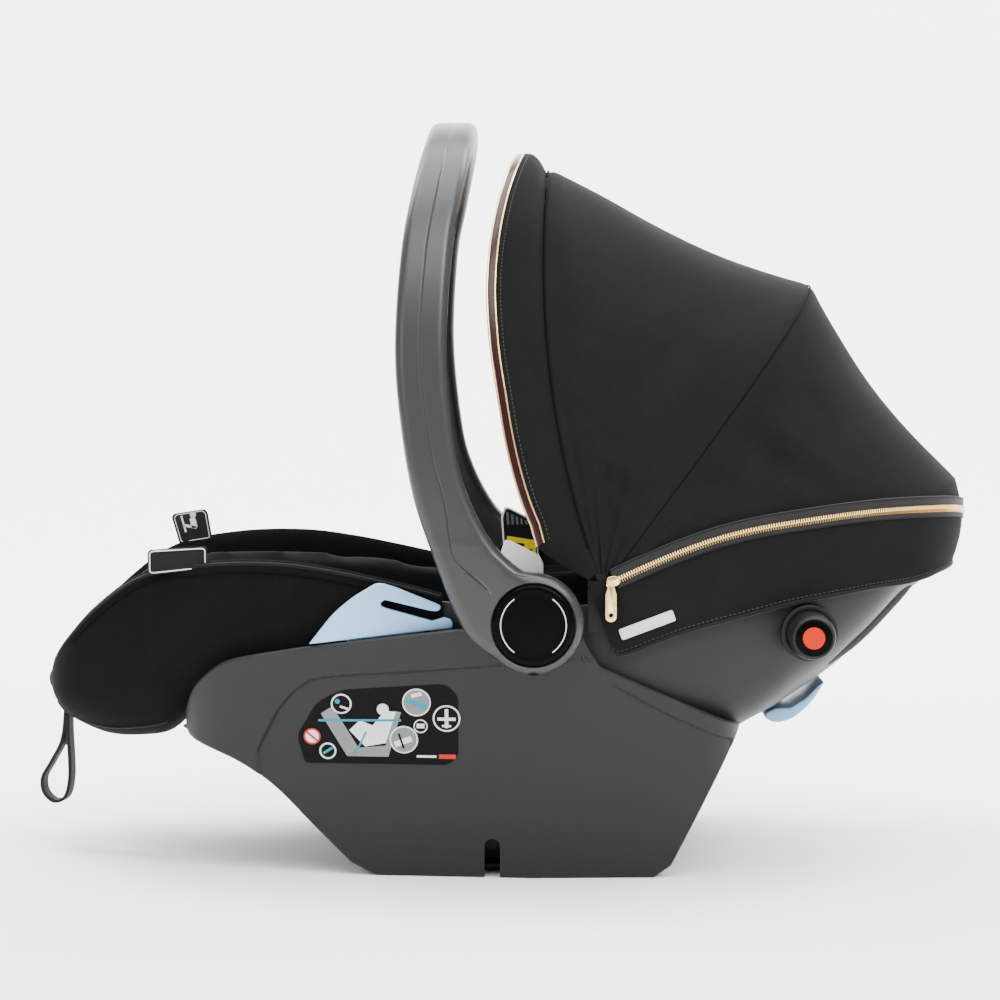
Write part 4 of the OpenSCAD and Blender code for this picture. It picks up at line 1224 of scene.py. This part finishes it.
def skirt():
    """The canopy's fixed part below the zip, with its hem."""
    hem = spline([(64, 196), (76, 186), (90, 179), (120, 189.5), (144.6, 198), (199, 212), (227, 218.5),
                  (255, 223), (289, 228), (315, 230), (334, 233), (346, 236), (376, 240)], 5)
    t, side = arch_columns(90)
    top = canopy_xyz(ZIP_R, CANOPY_W, turn_at(ZIP_A, t), t, side) - np.array([0, 0, 1.2])
    hem_x = PIVOT_X + 286 * np.sin(np.radians(t)) ** (2 / 2.8)
    hem_y = side * 179.5 * np.maximum(0, np.cos(np.radians(t))) ** (2 / 2.8)
    hem_z = lookup(hem_x, hem)
    rows = []
    for u in np.linspace(0, 1, 40):
        w = u * u
        row = np.stack([top[:, 0] + (hem_x - top[:, 0]) * w, top[:, 1] + (hem_y - top[:, 1]) * w,
                        top[:, 2] + (hem_z - top[:, 2]) * u], 1)
        near, far = (np.array([66 + 20 * u, s * (188 - 8.5 * w), 236 - 54 * u]) for s in (-1, 1))
        shares = (0, 0.25, 0.5, 0.75)
        rows.append(np.vstack([[near + (row[0] - near) * k for k in shares], row,
                               [far + (row[-1] - far) * k for k in shares[::-1]]]))
    rows = np.array(rows)
    lines = [(70, 226, 92, 192, 5, 1.6), (84, 228, 100, 196, 4, 1.2), (230, 262, 320, 250, 12, 0.8)]
    cloth = canopy_sheet("skirt_cloth", rows, "root", "canopy_skirt", lines, rough=0.8)
    normals = surface_normals(rows)
    parts = [tube("hem", rows[-1] + normals[-1] * 0.2, 1.5, M["pipe"]),
             stitches("stitch", rows[-3] + normals[-3] * 0.3, 3.6, 0.36, M["thread"])]
    finish_piece(join("skirt_hem", parts), "root", sharp=60)


def zip_tooth(c, d, u, n, s):
    """One tooth's corners: d runs along the chain, u across it, n outwards; s is the tooth's side."""
    corners = ((-0.62, 0.0, 1.0), (0.62, 0.0, 1.0), (-0.62, 3.0, 1.0), (0.62, 3.0, 1.0),
               (-0.5, -0.3, 2.0), (0.5, -0.3, 2.0), (-0.4, 2.5, 2.3), (0.4, 2.5, 2.3))
    return [tuple(c + d * (a + 0.5 * s) + u * s * b + n * h) for a, b, h in corners]


def zip_chain(path, across, out):
    """The teeth, in two rows half a pitch apart."""
    sides = [(0, 1, 5, 4), (2, 6, 7, 3), (4, 5, 7, 6), (0, 4, 6, 2), (1, 3, 7, 5), (0, 2, 3, 1)]
    pitch, start = 2.0, 2
    run = running_length(path)
    verts, faces = [], []
    for k in range(int((run[-1] - 2 * start) / pitch)):
        at = start + k * pitch
        c, u, n = (np.array([np.interp(at, run, line[:, i]) for i in range(3)])
                   for line in (path, across, out))
        for s in (-1, 1):
            first = len(verts)
            verts += zip_tooth(c, unit(np.cross(u, n)), u, n, s)
            faces += [tuple(first + i for i in (f if s > 0 else f[::-1])) for f in sides]
    return new_object("chain", verts, faces, M["gold"])


def zip_tape():
    """Tape with its two edges, and the chain of teeth on it."""
    t, side = arch_columns(90)
    path = canopy_xyz(ZIP_R, CANOPY_W, turn_at(ZIP_A, t), t, side)
    plan = np.gradient(path, axis=0)
    across = unit(np.array([0, 0, 1.0]) - plan * (plan[:, 2:3] / (np.sum(plan ** 2, axis=1)[:, None] + 1e-9)))
    out = unit(np.cross(plan, across))
    out *= np.sign(np.sum(out * (path - np.array([PIVOT_X + 60, 0, PIVOT_Z])), axis=1))[:, None]
    section = [(-6.4, -0.6), (-6.6, 0.9), (-4.0, 1.25), (-2.2, 0.9), (2.2, 0.9), (5.5, 1.3), (9.6, 0.8),
               (9.8, -0.9)]
    grid = np.stack([path + across * s + out * h for s, h in section], 1)
    parts = [solidify(recalc(grid_object("tape", grid, M["tape"])), 0.5)]
    for s, h in ((-6.2, 1.0), (9.0, 1.1)):
        parts.append(tube("edge", path + across * s + out * h, 0.55, M["pipe"], 6))
    parts.append(zip_chain(path, across, out))
    finish_piece(join("zip_tape_and_teeth", parts), "root", ["zipper_chain"], sharp=40)


def zip_slider():
    """The slider's body with the bridge that holds its pull."""
    low, high = node_box("zip_slider")
    x0, x1, z0, z1 = low[0], high[0], low[2], high[2]
    y = low[1] + 1.8
    outline = [(x0, z0 + 1), (x0 + 3, z0), (x1, z0 + 2.5), (x1 + 1, z1 - 1), (x1 - 3, z1 + 1.5), (x0 + 1, z1)]
    bridge = [(x0 + 1, y - 0.5, z0 + 3), (x0 + 2.5, y - 1.5, z0 + 3.5), (x1 - 2.5, y - 1.5, z1 - 2.5),
              (x1 - 1, y - 0.5, z1 - 1.5)]
    parts = [plate("slider", rounded(outline, 1.5), y - 0.4, y + 1.6, M["gold"], 0.5),
             tube("bridge", bridge, 0.8, M["gold"], up=ACROSS)]
    finish_piece(join("zip_slider_body", parts), "root", ["zip_slider"])


def zip_pull():
    """The pull with the raised ring on its face."""
    pull = bevelled("zip_pull", M["gold"], 0.35)
    low, high = node_box("zip_pull")
    cx, z = (low[0] + high[0]) / 2, low[2]
    outline = [(cx - 2.6, z + 3), (cx + 2.6, z + 3), (cx + 2.6, z + 16), (cx - 2.6, z + 16)]
    ring = outline_tube(rounded(outline, 2.4), low[1], 0.5, M["gold"])
    finish_piece(join("zip_pull_tab", [pull, ring]), "zip_pull", ["zip_pull"])


def canopy_tag():
    """Satin tag with a raised rim, flat in X and Z first and then turned into its place."""
    low, high = node_box("canopy_tag")
    place_at = Matrix.Translation(Vector((low + high) / 2) * MM)
    for degrees, axis in ((4.5, "Z"), (9, "X"), (-20.6, "Y")):
        place_at = place_at @ Matrix.Rotation(math.radians(degrees), 4, axis)
    outlines = [rounded([(-x, -z), (x, -z), (x, z), (-x, z)], r)
                for x, z, r in ((21.8, 4.5, 1.4), (20.4, 3.3, 1))]
    obj = join("silver_tag", [plate("tag", outlines[0], -0.45, 0.4, M["silver"], 0.25, 2),
                              outline_tube(outlines[1], -0.45, 0.22, M["silver"])])
    obj.data.transform(place_at)
    finish_piece(obj, "root", ["canopy_tag"])


# ---------------------------------------------------------------- handle

# the handle seen from the side: its front edge, its rear edge and the groove between its two mouldings
H_LEFT = spline([(7, 173), (-4, 181), (-16, 189), (-24, 197), (-33, 213), (-45, 243), (-64, 297), (-74, 350),
                 (-79, 411), (-75, 482), (-67, 530), (-57, 572), (-52, 589)], 8)
H_RIGHT = spline([(-17, 589), (-19, 572), (-29, 524), (-36, 486), (-40, 411), (-33, 337), (-23, 300),
                  (-6, 268), (14, 248), (36, 236)], 8)[::-1]
H_SPLIT = spline([(-34.5, 600), (-36, 580), (-48, 524), (-56, 482), (-60, 408), (-52, 337), (-42, 300),
                  (-35, 258), (-17, 240), (-3, 227)], 8)[::-1]
HUB_R, HOOP_W, HOOP_H, LEG_T, BAR_T = 38.0, 218.0, 383.0, 25.0, 19.0


def handle_edge(z, s):
    """Front (s = -1) or rear (s = 1) edge of the handle at a height: its leg, or the hub's round end."""
    line, from_z = (H_LEFT, 173) if s < 0 else (H_RIGHT, 236.5)
    edges = []
    if abs(z - HUB_Z) < HUB_R:
        edges.append(HUB_X + s * math.sqrt(HUB_R ** 2 - (z - HUB_Z) ** 2))
    if z > from_z:
        edges.append(float(np.interp(z, line[:, 1], line[:, 0])))
    return s * max(s * edge for edge in edges)


def hoop_stations(heights):
    """Stations up the near leg and over the bar: middle (y, z), outward normal (y, z) and thickness."""
    fine = np.linspace(0, math.pi / 2, 400)
    power = 2 / 3.1
    centre = np.stack([-(HOOP_W - LEG_T / 2) * np.cos(fine) ** power,
                       HUB_Z + (HOOP_H - BAR_T / 2) * np.sin(fine) ** power], 1)
    centre = resample(centre[centre[:, 1] > 269], 92)
    stations = [(-(HOOP_W - LEG_T / 2), z, -1.0, 0.0, LEG_T) for z in heights]
    for (y, z), (ty, tz) in zip(centre, unit(np.gradient(centre, axis=0))):
        rise = min(1.0, max(0.0, (205.5 - abs(y)) / 120))
        stations.append((y, z, -tz, ty, LEG_T + (BAR_T - LEG_T) * float(smooth(rise))))
    return stations


def handle():
    """One hoop with rounded edges, a crown and a groove, bored for the hub buttons."""
    heights = np.concatenate([HUB_Z - HUB_R * np.cos(np.linspace(0.02, math.pi * 0.5, 22)),
                              np.linspace(209, 268, 24)])
    upper = np.linspace(270, 500, 60)
    outline = [(handle_edge(z, -1), z) for z in np.concatenate([heights, upper])]
    outline += [(handle_edge(z, 1), z) for z in np.concatenate([upper[::-1], heights[::-1]])]
    outline = np.array(outline + outline[:1])
    spread = (1 - np.cos(np.linspace(0, math.pi, 19))) / 2
    rows = []
    for y, z, ny, nz, thick in hoop_stations(heights):
        front, rear = handle_edge(z, -1), handle_edge(z, 1)
        split = front + 0.45 * (rear - front)
        if z > 226:
            split = float(np.interp(z, H_SPLIT[:, 1], H_SPLIT[:, 0]))
        split = min(max(split, front + 4), rear - 4) if rear - front > 8 else (front + rear) / 2
        x = np.concatenate([front + (split - front) * spread, split + (rear - split) * spread[1:]])
        if z < 470:
            d = np.abs(distance_to(outline, x, np.full_like(x, z)))
        else:
            d = np.minimum(x - front, rear - x)
        r = min(7.5, 0.5 * (rear - front), thick * 0.48)
        inset = r - np.sqrt(np.maximum(0, r * r - np.maximum(0, r - d) ** 2))
        crown = 0.9 * np.clip(d / 18, 0, 1) ** 0.5 - 0.9
        groove = 0.75 * np.exp(-((x - split) / 0.55) ** 2) * (1 if z > 232 else 0)
        outer = thick / 2 - inset + crown * (1 if z > 260 else 0.3) - groove
        inner = inset * 0.8 - thick / 2
        top = [(a, y + ny * o, z + nz * o) for a, o in zip(x, outer)]
        low = [(a, y + ny * o, z + nz * o) for a, o in zip(x[::-1], inner[::-1])]
        rows.append(top + low[1:-1])
    rows = np.array(rows)
    rows = np.vstack([rows, rows[::-1][1:] * np.array([1, -1, 1])])
    obj = recalc(grid_object("handle_moulding", rows, M["handle"], close_cols=True, caps=True))
    bore = [(31.5, 0), (31.5, 7), (32.2, 7.6), (32.2, 30)]
    cut(obj, *[lathe("cut", bore, (HUB_X, s * 209.5, HUB_Z), (0, s, 0), M["handle"], 96) for s in (-1, 1)])
    finish_piece(obj, "handle", ["handle_front", "handle_rear"], sharp=32)


def hub_button(side):
    """Gloss button with a fine ring in two arcs, and the handle's ring round it."""
    s = -1 if side == "left" else 1
    low, high = node_box("handle_button_" + side)
    face = abs(low[1]) if s < 0 else high[1]
    profile = [(12, 213.4), (30.4, 213.4), (30.8, 214), (30.8, face - 2.2), (29.8, face - 0.8),
               (28, face - 0.2), (26.5, face - 0.35), (20, face - 0.15), (8, face - 0.05), (0.4, face)]
    parts = [lathe("cap", profile, (HUB_X, 0, HUB_Z), (0, s, 0), M["gloss"], 96)]
    for middle in (0, math.pi):
        arc = [(HUB_X + 24.6 * math.cos(a), s * (face - 0.25), HUB_Z + 24.6 * math.sin(a))
               for a in np.linspace(middle - 0.95, middle + 0.95, 40)]
        parts.append(tube("arc", arc, 0.42, M["silver"], 6, up=ACROSS))
    obj = join("hub_button_" + side, parts)
    finish_piece(obj, "handle_button_" + side, ["handle_button_" + side], sharp=40)
    profile = [(31.9, 216.2), (31.9, 217.4), (32.5, 217.8), (33.4, 217.4), (33.4, 216.2)]
    ring = lathe("hub_ring_" + side, profile, (HUB_X, 0, HUB_Z), (0, s, 0), M["handle"], 96, ring=True)
    finish_piece(ring, "handle", sharp=40)


# ---------------------------------------------------------------- pods

def pod(side):
    """Side impact pod: its knob, the red disc in its face and the collar on the shell."""
    s = -1 if side == "left" else 1
    low, high = node_box("pod_" + side)
    centre = ((low[0] + high[0]) / 2, 0, (low[2] + high[2]) / 2)
    inner, outer = sorted((abs(low[1]), abs(high[1])))
    r = 17.6

    def turned(name, profile, key, steps, ring=False):
        return lathe(name, profile, centre, (0, s, 0), M[key], steps, ring)

    profile = [(r - 3, inner), (r - 0.6, inner), (r, inner + 0.8), (r, outer - 9), (r - 0.3, outer - 6),
               (r - 1.4, outer - 1.4), (r - 2.3, outer - 0.3), (r - 3.2, outer), (r - 3.8, outer - 0.7),
               (r - 4.0, outer - 1.6), (2, outer - 1.6)]
    body = turned("pod_knob_" + side, profile, "black", 72)
    finish_piece(body, "pod_" + side, ["pod_" + side], sharp=40)
    profile = [(0.4, outer - 1.3), (13.4, outer - 1.3), (13.4, outer - 0.9), (12.6, outer - 0.5),
               (0.4, outer - 0.35)]
    face = turned("face", profile, "gloss", 64)
    profile = [(0.4, outer - 0.4), (8.4, outer - 0.4), (8.4, outer - 0.12), (0.4, outer - 0.12)]
    cap = join("pod_face_" + side, [face, turned("disc", profile, "red", 48)])
    finish_piece(cap, "pod_" + side, ["pod_cap_" + side], sharp=40)
    sock = bevelled("pod_socket_" + side, M["black"], 1.6, angle=50)
    profile = [(18.3, 158), (18.3, 171.4), (19.2, 172.2), (20.6, 172.2), (21.4, 171.2), (21.4, 158)]
    collar = join("pod_collar_" + side, [sock, turned("collar", profile, "black", 72, ring=True)])
    finish_piece(collar, "root", ["pod_socket_" + side], sharp=40)


# ---------------------------------------------------------------- belt guides, tabs and tags

def belt_guides():
    for node in ("belt_guide_left", "belt_guide_right", "rear_belt_guide"):
        finish_piece(bevelled(node, M["blue"], 1.2), "root", [node])


def side_tab(side):
    """White tab with a ribbed black plate and a yellow label on its inner face."""
    s = -1 if side == "left" else 1
    parts = [bevelled("side_tab_" + side, M["white"], 0.8)]
    low, high = node_box("side_tab_" + side)
    inner = s * (min(abs(low[1]), abs(high[1])) - 0.5)

    def face(outline, level, key, radius):
        y = inner - 0.35 * s * level
        parts.append(plate("face", rounded(outline, radius), y - 0.3, y + 0.3, M[key], 0.1, 1))

    face([(5, 219), (2.5, 257), (5, 264.5), (8, 264), (29, 253.5), (31.5, 248), (32, 219)], 0, "black", 2)
    for k in range(6):
        x, top = 4 * k, 1.8 * k
        face([(6 + x, 251), (8.2 + x, 250.6), (7.6 + x, 261 - top), (5.4 + x, 262 - top)], 1, "grey", 0.5)
    face([(6, 221), (31, 221), (31, 237), (6, 241)], 1, "yellow", 1)
    face([(9, 228), (28, 227), (28, 229.4), (9, 230.6)], 2, "black", 0.3)
    face([(9, 233), (21, 232), (21, 234.4), (9, 235.6)], 2, "black", 0.3)
    finish_piece(join("side_tab_piece_" + side, parts), "root", ["side_tab_" + side])


def shrunk(outline, share):
    """The outline drawn in towards its middle."""
    middle = np.mean(np.array(outline), axis=0)
    return [tuple(middle + (np.array(p) - middle) * np.array(share)) for p in outline]


def picture_tag():
    """Tag on the rim with a plain picture of a seated figure."""
    low, high = node_box("icon_tag")
    outline = rounded([(-274, 236), (-246, 240.5), (-250, 264), (-252.5, 267), (-279, 263), (-281, 260)], 2)
    y = low[1] - 0.12
    cx, cz = np.mean(np.array(outline), axis=0)
    body = rounded([(cx - 2, cz + 4), (cx + 3, cz + 4.5), (cx + 5, cz - 4), (cx, cz - 5)], 1.2)
    parts = [plate("tag", outline, low[1], high[1], M["web"], 0.2, 2),
             outline_tube(shrunk(outline, 0.86), y, 0.35, M["print"])]
    bars = [line_shape(cx + 4, cz - 4, cx - 7, cz - 2, 2.2), line_shape(cx - 9, cz + 6, cx - 5, cz - 8, 1.6)]
    for figure in (ring_points(cx + 1, cz + 7, 2.6, 20), body, *bars):
        parts.append(plate("figure", figure, y - 0.1, y + 0.1, M["print"], 0))
    finish_piece(join("picture_tag", parts), "root", ["icon_tag"])


def near_tag():
    """Black woven tag with a silver border, on the near rim and clear of the cover's rounder roll."""
    low, high = (corner[1] - 4.3 for corner in node_box("woven_tag"))
    outline = rounded([(-272, 236), (-226, 241.5), (-226, 259), (-272, 256)], 3.5)
    parts = [plate("tag", outline, low, high, M["pipe"], 0.3, 2),
             outline_tube(shrunk(outline, (0.93, 0.84)), low - 0.1, 0.5, M["silver"])]
    finish_piece(join("near_tag", parts), "root", ["woven_tag"])


# ---------------------------------------------------------------- padding and harness

def seat_top(x, y):
    """Height of the cushion's top surface."""
    hw = float(shell_hw(x)) - 32.1
    z0, z1 = lookup(x, FLOOR) + 32.1, lookup(x, RIM)
    s = min(1.0, abs(y) / hw)
    return z1 - (z1 - z0) * (1 - s ** 3.6) ** (1 / 3.6)


def cushion_channels(co, normals):
    """Depth of the stitched channels across and along the seat."""
    x, y = co[:, 0], co[:, 1]
    out = np.zeros(len(co))
    for at in (-262, -196, -128, -60, 8, 76, 144, 212, 276):
        out -= 2.6 * np.exp(-((x - at - 10 * np.cos(y / 60)) / 3.0) ** 2)
    for at in (-58, 58):
        out -= 2.4 * np.exp(-((y - at) / 3.0) ** 2)
    return out * smooth(normals[:, 2] * 2) * smooth((118 - np.abs(y)) / 30)


def padding():
    cushion = stuffed("seat_cushion", "seat_cushion_cloth", M["lining"], 7.5, 2.0, 3.0)
    displace(cushion, cushion_channels)
    finish_piece(cushion, "root", ["seat_cushion"], sharp=80)
    pad = stuffed("headrest_pad", "headrest_cushion", M["fabric"], 4.5, 3.0, 3.0)
    finish_piece(pad, "headrest", ["headrest_pad"], sharp=80)
    sleeves = stuffed("shoulder_pads", "shoulder_sleeves", M["fabric"], 2.6, 2.0, 1.6)
    finish_piece(sleeves, "root", ["shoulder_pads"], sharp=80)


def webbing(name, centres, across, thick, node):
    """One piece of webbing, from the centre lines of its straps and their half-width vectors."""
    straps = [strap(name, centre, w, thick, M["web"]) for centre, w in zip(centres, across)]
    obj = join(name, straps) if len(straps) > 1 else straps[0]
    finish_piece(obj, "root", [node], sharp=50)


def harness():
    """Shoulder, lap and crotch straps, the buckle and the adjuster."""
    path = spline([(217, 175), (210, 187), (203, 195), (192, 192), (160, 171), (130, 150), (90, 122),
                   (50, 107), (14, 102), (2.6, 101.5)], 8)
    middle = spline([(40, 0)] * 4 + [(39, 0), (37, 0), (34, 0), (30, 0), (24, 0), (21, 0)], 8)[:, 0]
    centres = [[(x, s * y, z) for (x, z), y in zip(path, middle)] for s in (-1, 1)]
    webbing("shoulder_webbing", centres, [(0, -12, 0), (0, 12, 0)], 1.6, "shoulder_straps")
    centres = []
    for s in (-1, 1):
        hip = [(10, s * y, seat_top(10, y) + 3.8) for y in range(118, 45, -6)]
        centres.append(spline(hip + [(10, s * 36, 99.8), (2, s * 27, 99.8)], 4))
    webbing("lap_webbing", centres, [(12, 0, 0)] * 2, 1.6, "lap_straps")
    centre = spline([(-66, 0, 96), (-54, 0, 98.5), (-42.6, 0, 100)], 8)
    webbing("crotch_webbing", [centre], [(0, 12, 0)], 1.8, "crotch_strap")
    for node, width in (("buckle", 2.0), ("adjuster_housing", 1.8)):
        finish_piece(bevelled(node, M["black"], width, 4), "root", [node])


def pull_loop():
    """The adjuster's pull strap, hanging in a loop under the foot end."""
    route = spline([(-354, 132), (-354, 112), (-357, 88), (-366, 70), (-373.2, 57), (-372.2, 45),
                    (-364, 37.3), (-355, 41), (-351.2, 55), (-351, 72), (-352, 92), (-352.2, 108)], 10)
    centre = [(x, 0, z) for x, z in resample(route, 90)]
    parts = [strap("pull_webbing", centre, (1.4, 6.4, 0), 2.6, M["web"]),
             box_object("tack", (-355.5, -6.4, 84), (-351.5, 6.4, 87), M["thread"], 0.5)]
    finish_piece(join("adjuster_pull_loop", parts), "root", ["pull_strap"], sharp=50)


# ---------------------------------------------------------------- the whole seat

seat_shell()
foam_liner()
lower_shell()
side_label("left")
side_label("right")
leg_cover()
canopy()
skirt()
zip_tape()
zip_slider()
zip_pull()
canopy_tag()
handle()
for which in ("left", "right"):
    hub_button(which)
    pod(which)
belt_guides()
for which in ("left", "right"):
    side_tab(which)
picture_tag()
near_tag()
padding()
harness()
pull_loop()


# ---------------------------------------------------------------- camera, floor and light

def add_camera():
    data = bpy.data.cameras.new("camera")
    data.lens = 115.2
    data.sensor_width = 36
    data.clip_start = 0.05
    data.clip_end = 30
    camera = bpy.data.objects.new("camera", data)
    camera.location = (0, -2.600, 0.476)
    camera.rotation_euler = (math.radians(90 - 4.218), 0, 0)
    bpy.context.scene.collection.objects.link(camera)
    bpy.context.scene.camera = camera


def add_floor():
    """Pale floor that turns up into a wall behind the seat."""
    white, _, shader = node_graph("studio_white")
    shader.inputs["Base Color"].default_value = (0.94, 0.94, 0.94, 1)
    shader.inputs["Roughness"].default_value = 0.9
    profile = [(-4.0, 0.0), (2.2, 0.0)] + [(2.2 + 0.8 * math.sin(a), 0.8 - 0.8 * math.cos(a))
                                           for a in np.linspace(0.1, math.pi / 2, 12)] + [(3.0, 4.0)]
    verts = [(x / MM, y / MM, z / MM) for y, z in profile for x in (-6, 6)]
    faces = [(2 * i, 2 * i + 1, 2 * i + 3, 2 * i + 2) for i in range(len(profile) - 1)]
    floor = new_object("floor", verts, faces, white)
    floor.data.polygons.foreach_set("use_smooth", [True] * len(faces))


def add_lamp(name, location, target, size, size_y, watts):
    """A rectangular area lamp that faces its target."""
    lamp = bpy.data.lights.new(name, "AREA")
    lamp.shape = "RECTANGLE"
    lamp.size = size
    lamp.size_y = size_y
    lamp.energy = watts
    obj = bpy.data.objects.new(name, lamp)
    obj.location = location
    obj.rotation_euler = (Vector(target) - Vector(location)).to_track_quat("-Z", "Y").to_euler()
    bpy.context.scene.collection.objects.link(obj)


def add_light():
    world = bpy.data.worlds.new("studio")
    bpy.context.scene.world = world
    world.use_nodes = True
    back = next(n for n in world.node_tree.nodes if n.type == "BACKGROUND")
    back.inputs["Color"].default_value = (0.98, 0.985, 1.0, 1)
    back.inputs["Strength"].default_value = 0.8
    add_lamp("key", (1.7, -1.8, 2.2), (0.05, 0, 0.3), 1.0, 1.2, 80)
    add_lamp("fill", (-2.0, -2.2, 1.3), (-0.1, 0, 0.25), 1.6, 1.4, 22)
    add_lamp("top", (0.0, 0.2, 3.2), (0, 0, 0.2), 3.4, 3.0, 260)
    add_lamp("front_floor", (0, -2.2, 2.6), (0, -1.4, 0), 3.0, 1.4, 90)
    for x in (-1.8, 1.8):
        add_lamp("wall", (x, 1.2, 2.4), (x * 0.45, 3.0, 0.7), 1.6, 1.2, 170)


add_camera()
add_floor()
add_light()
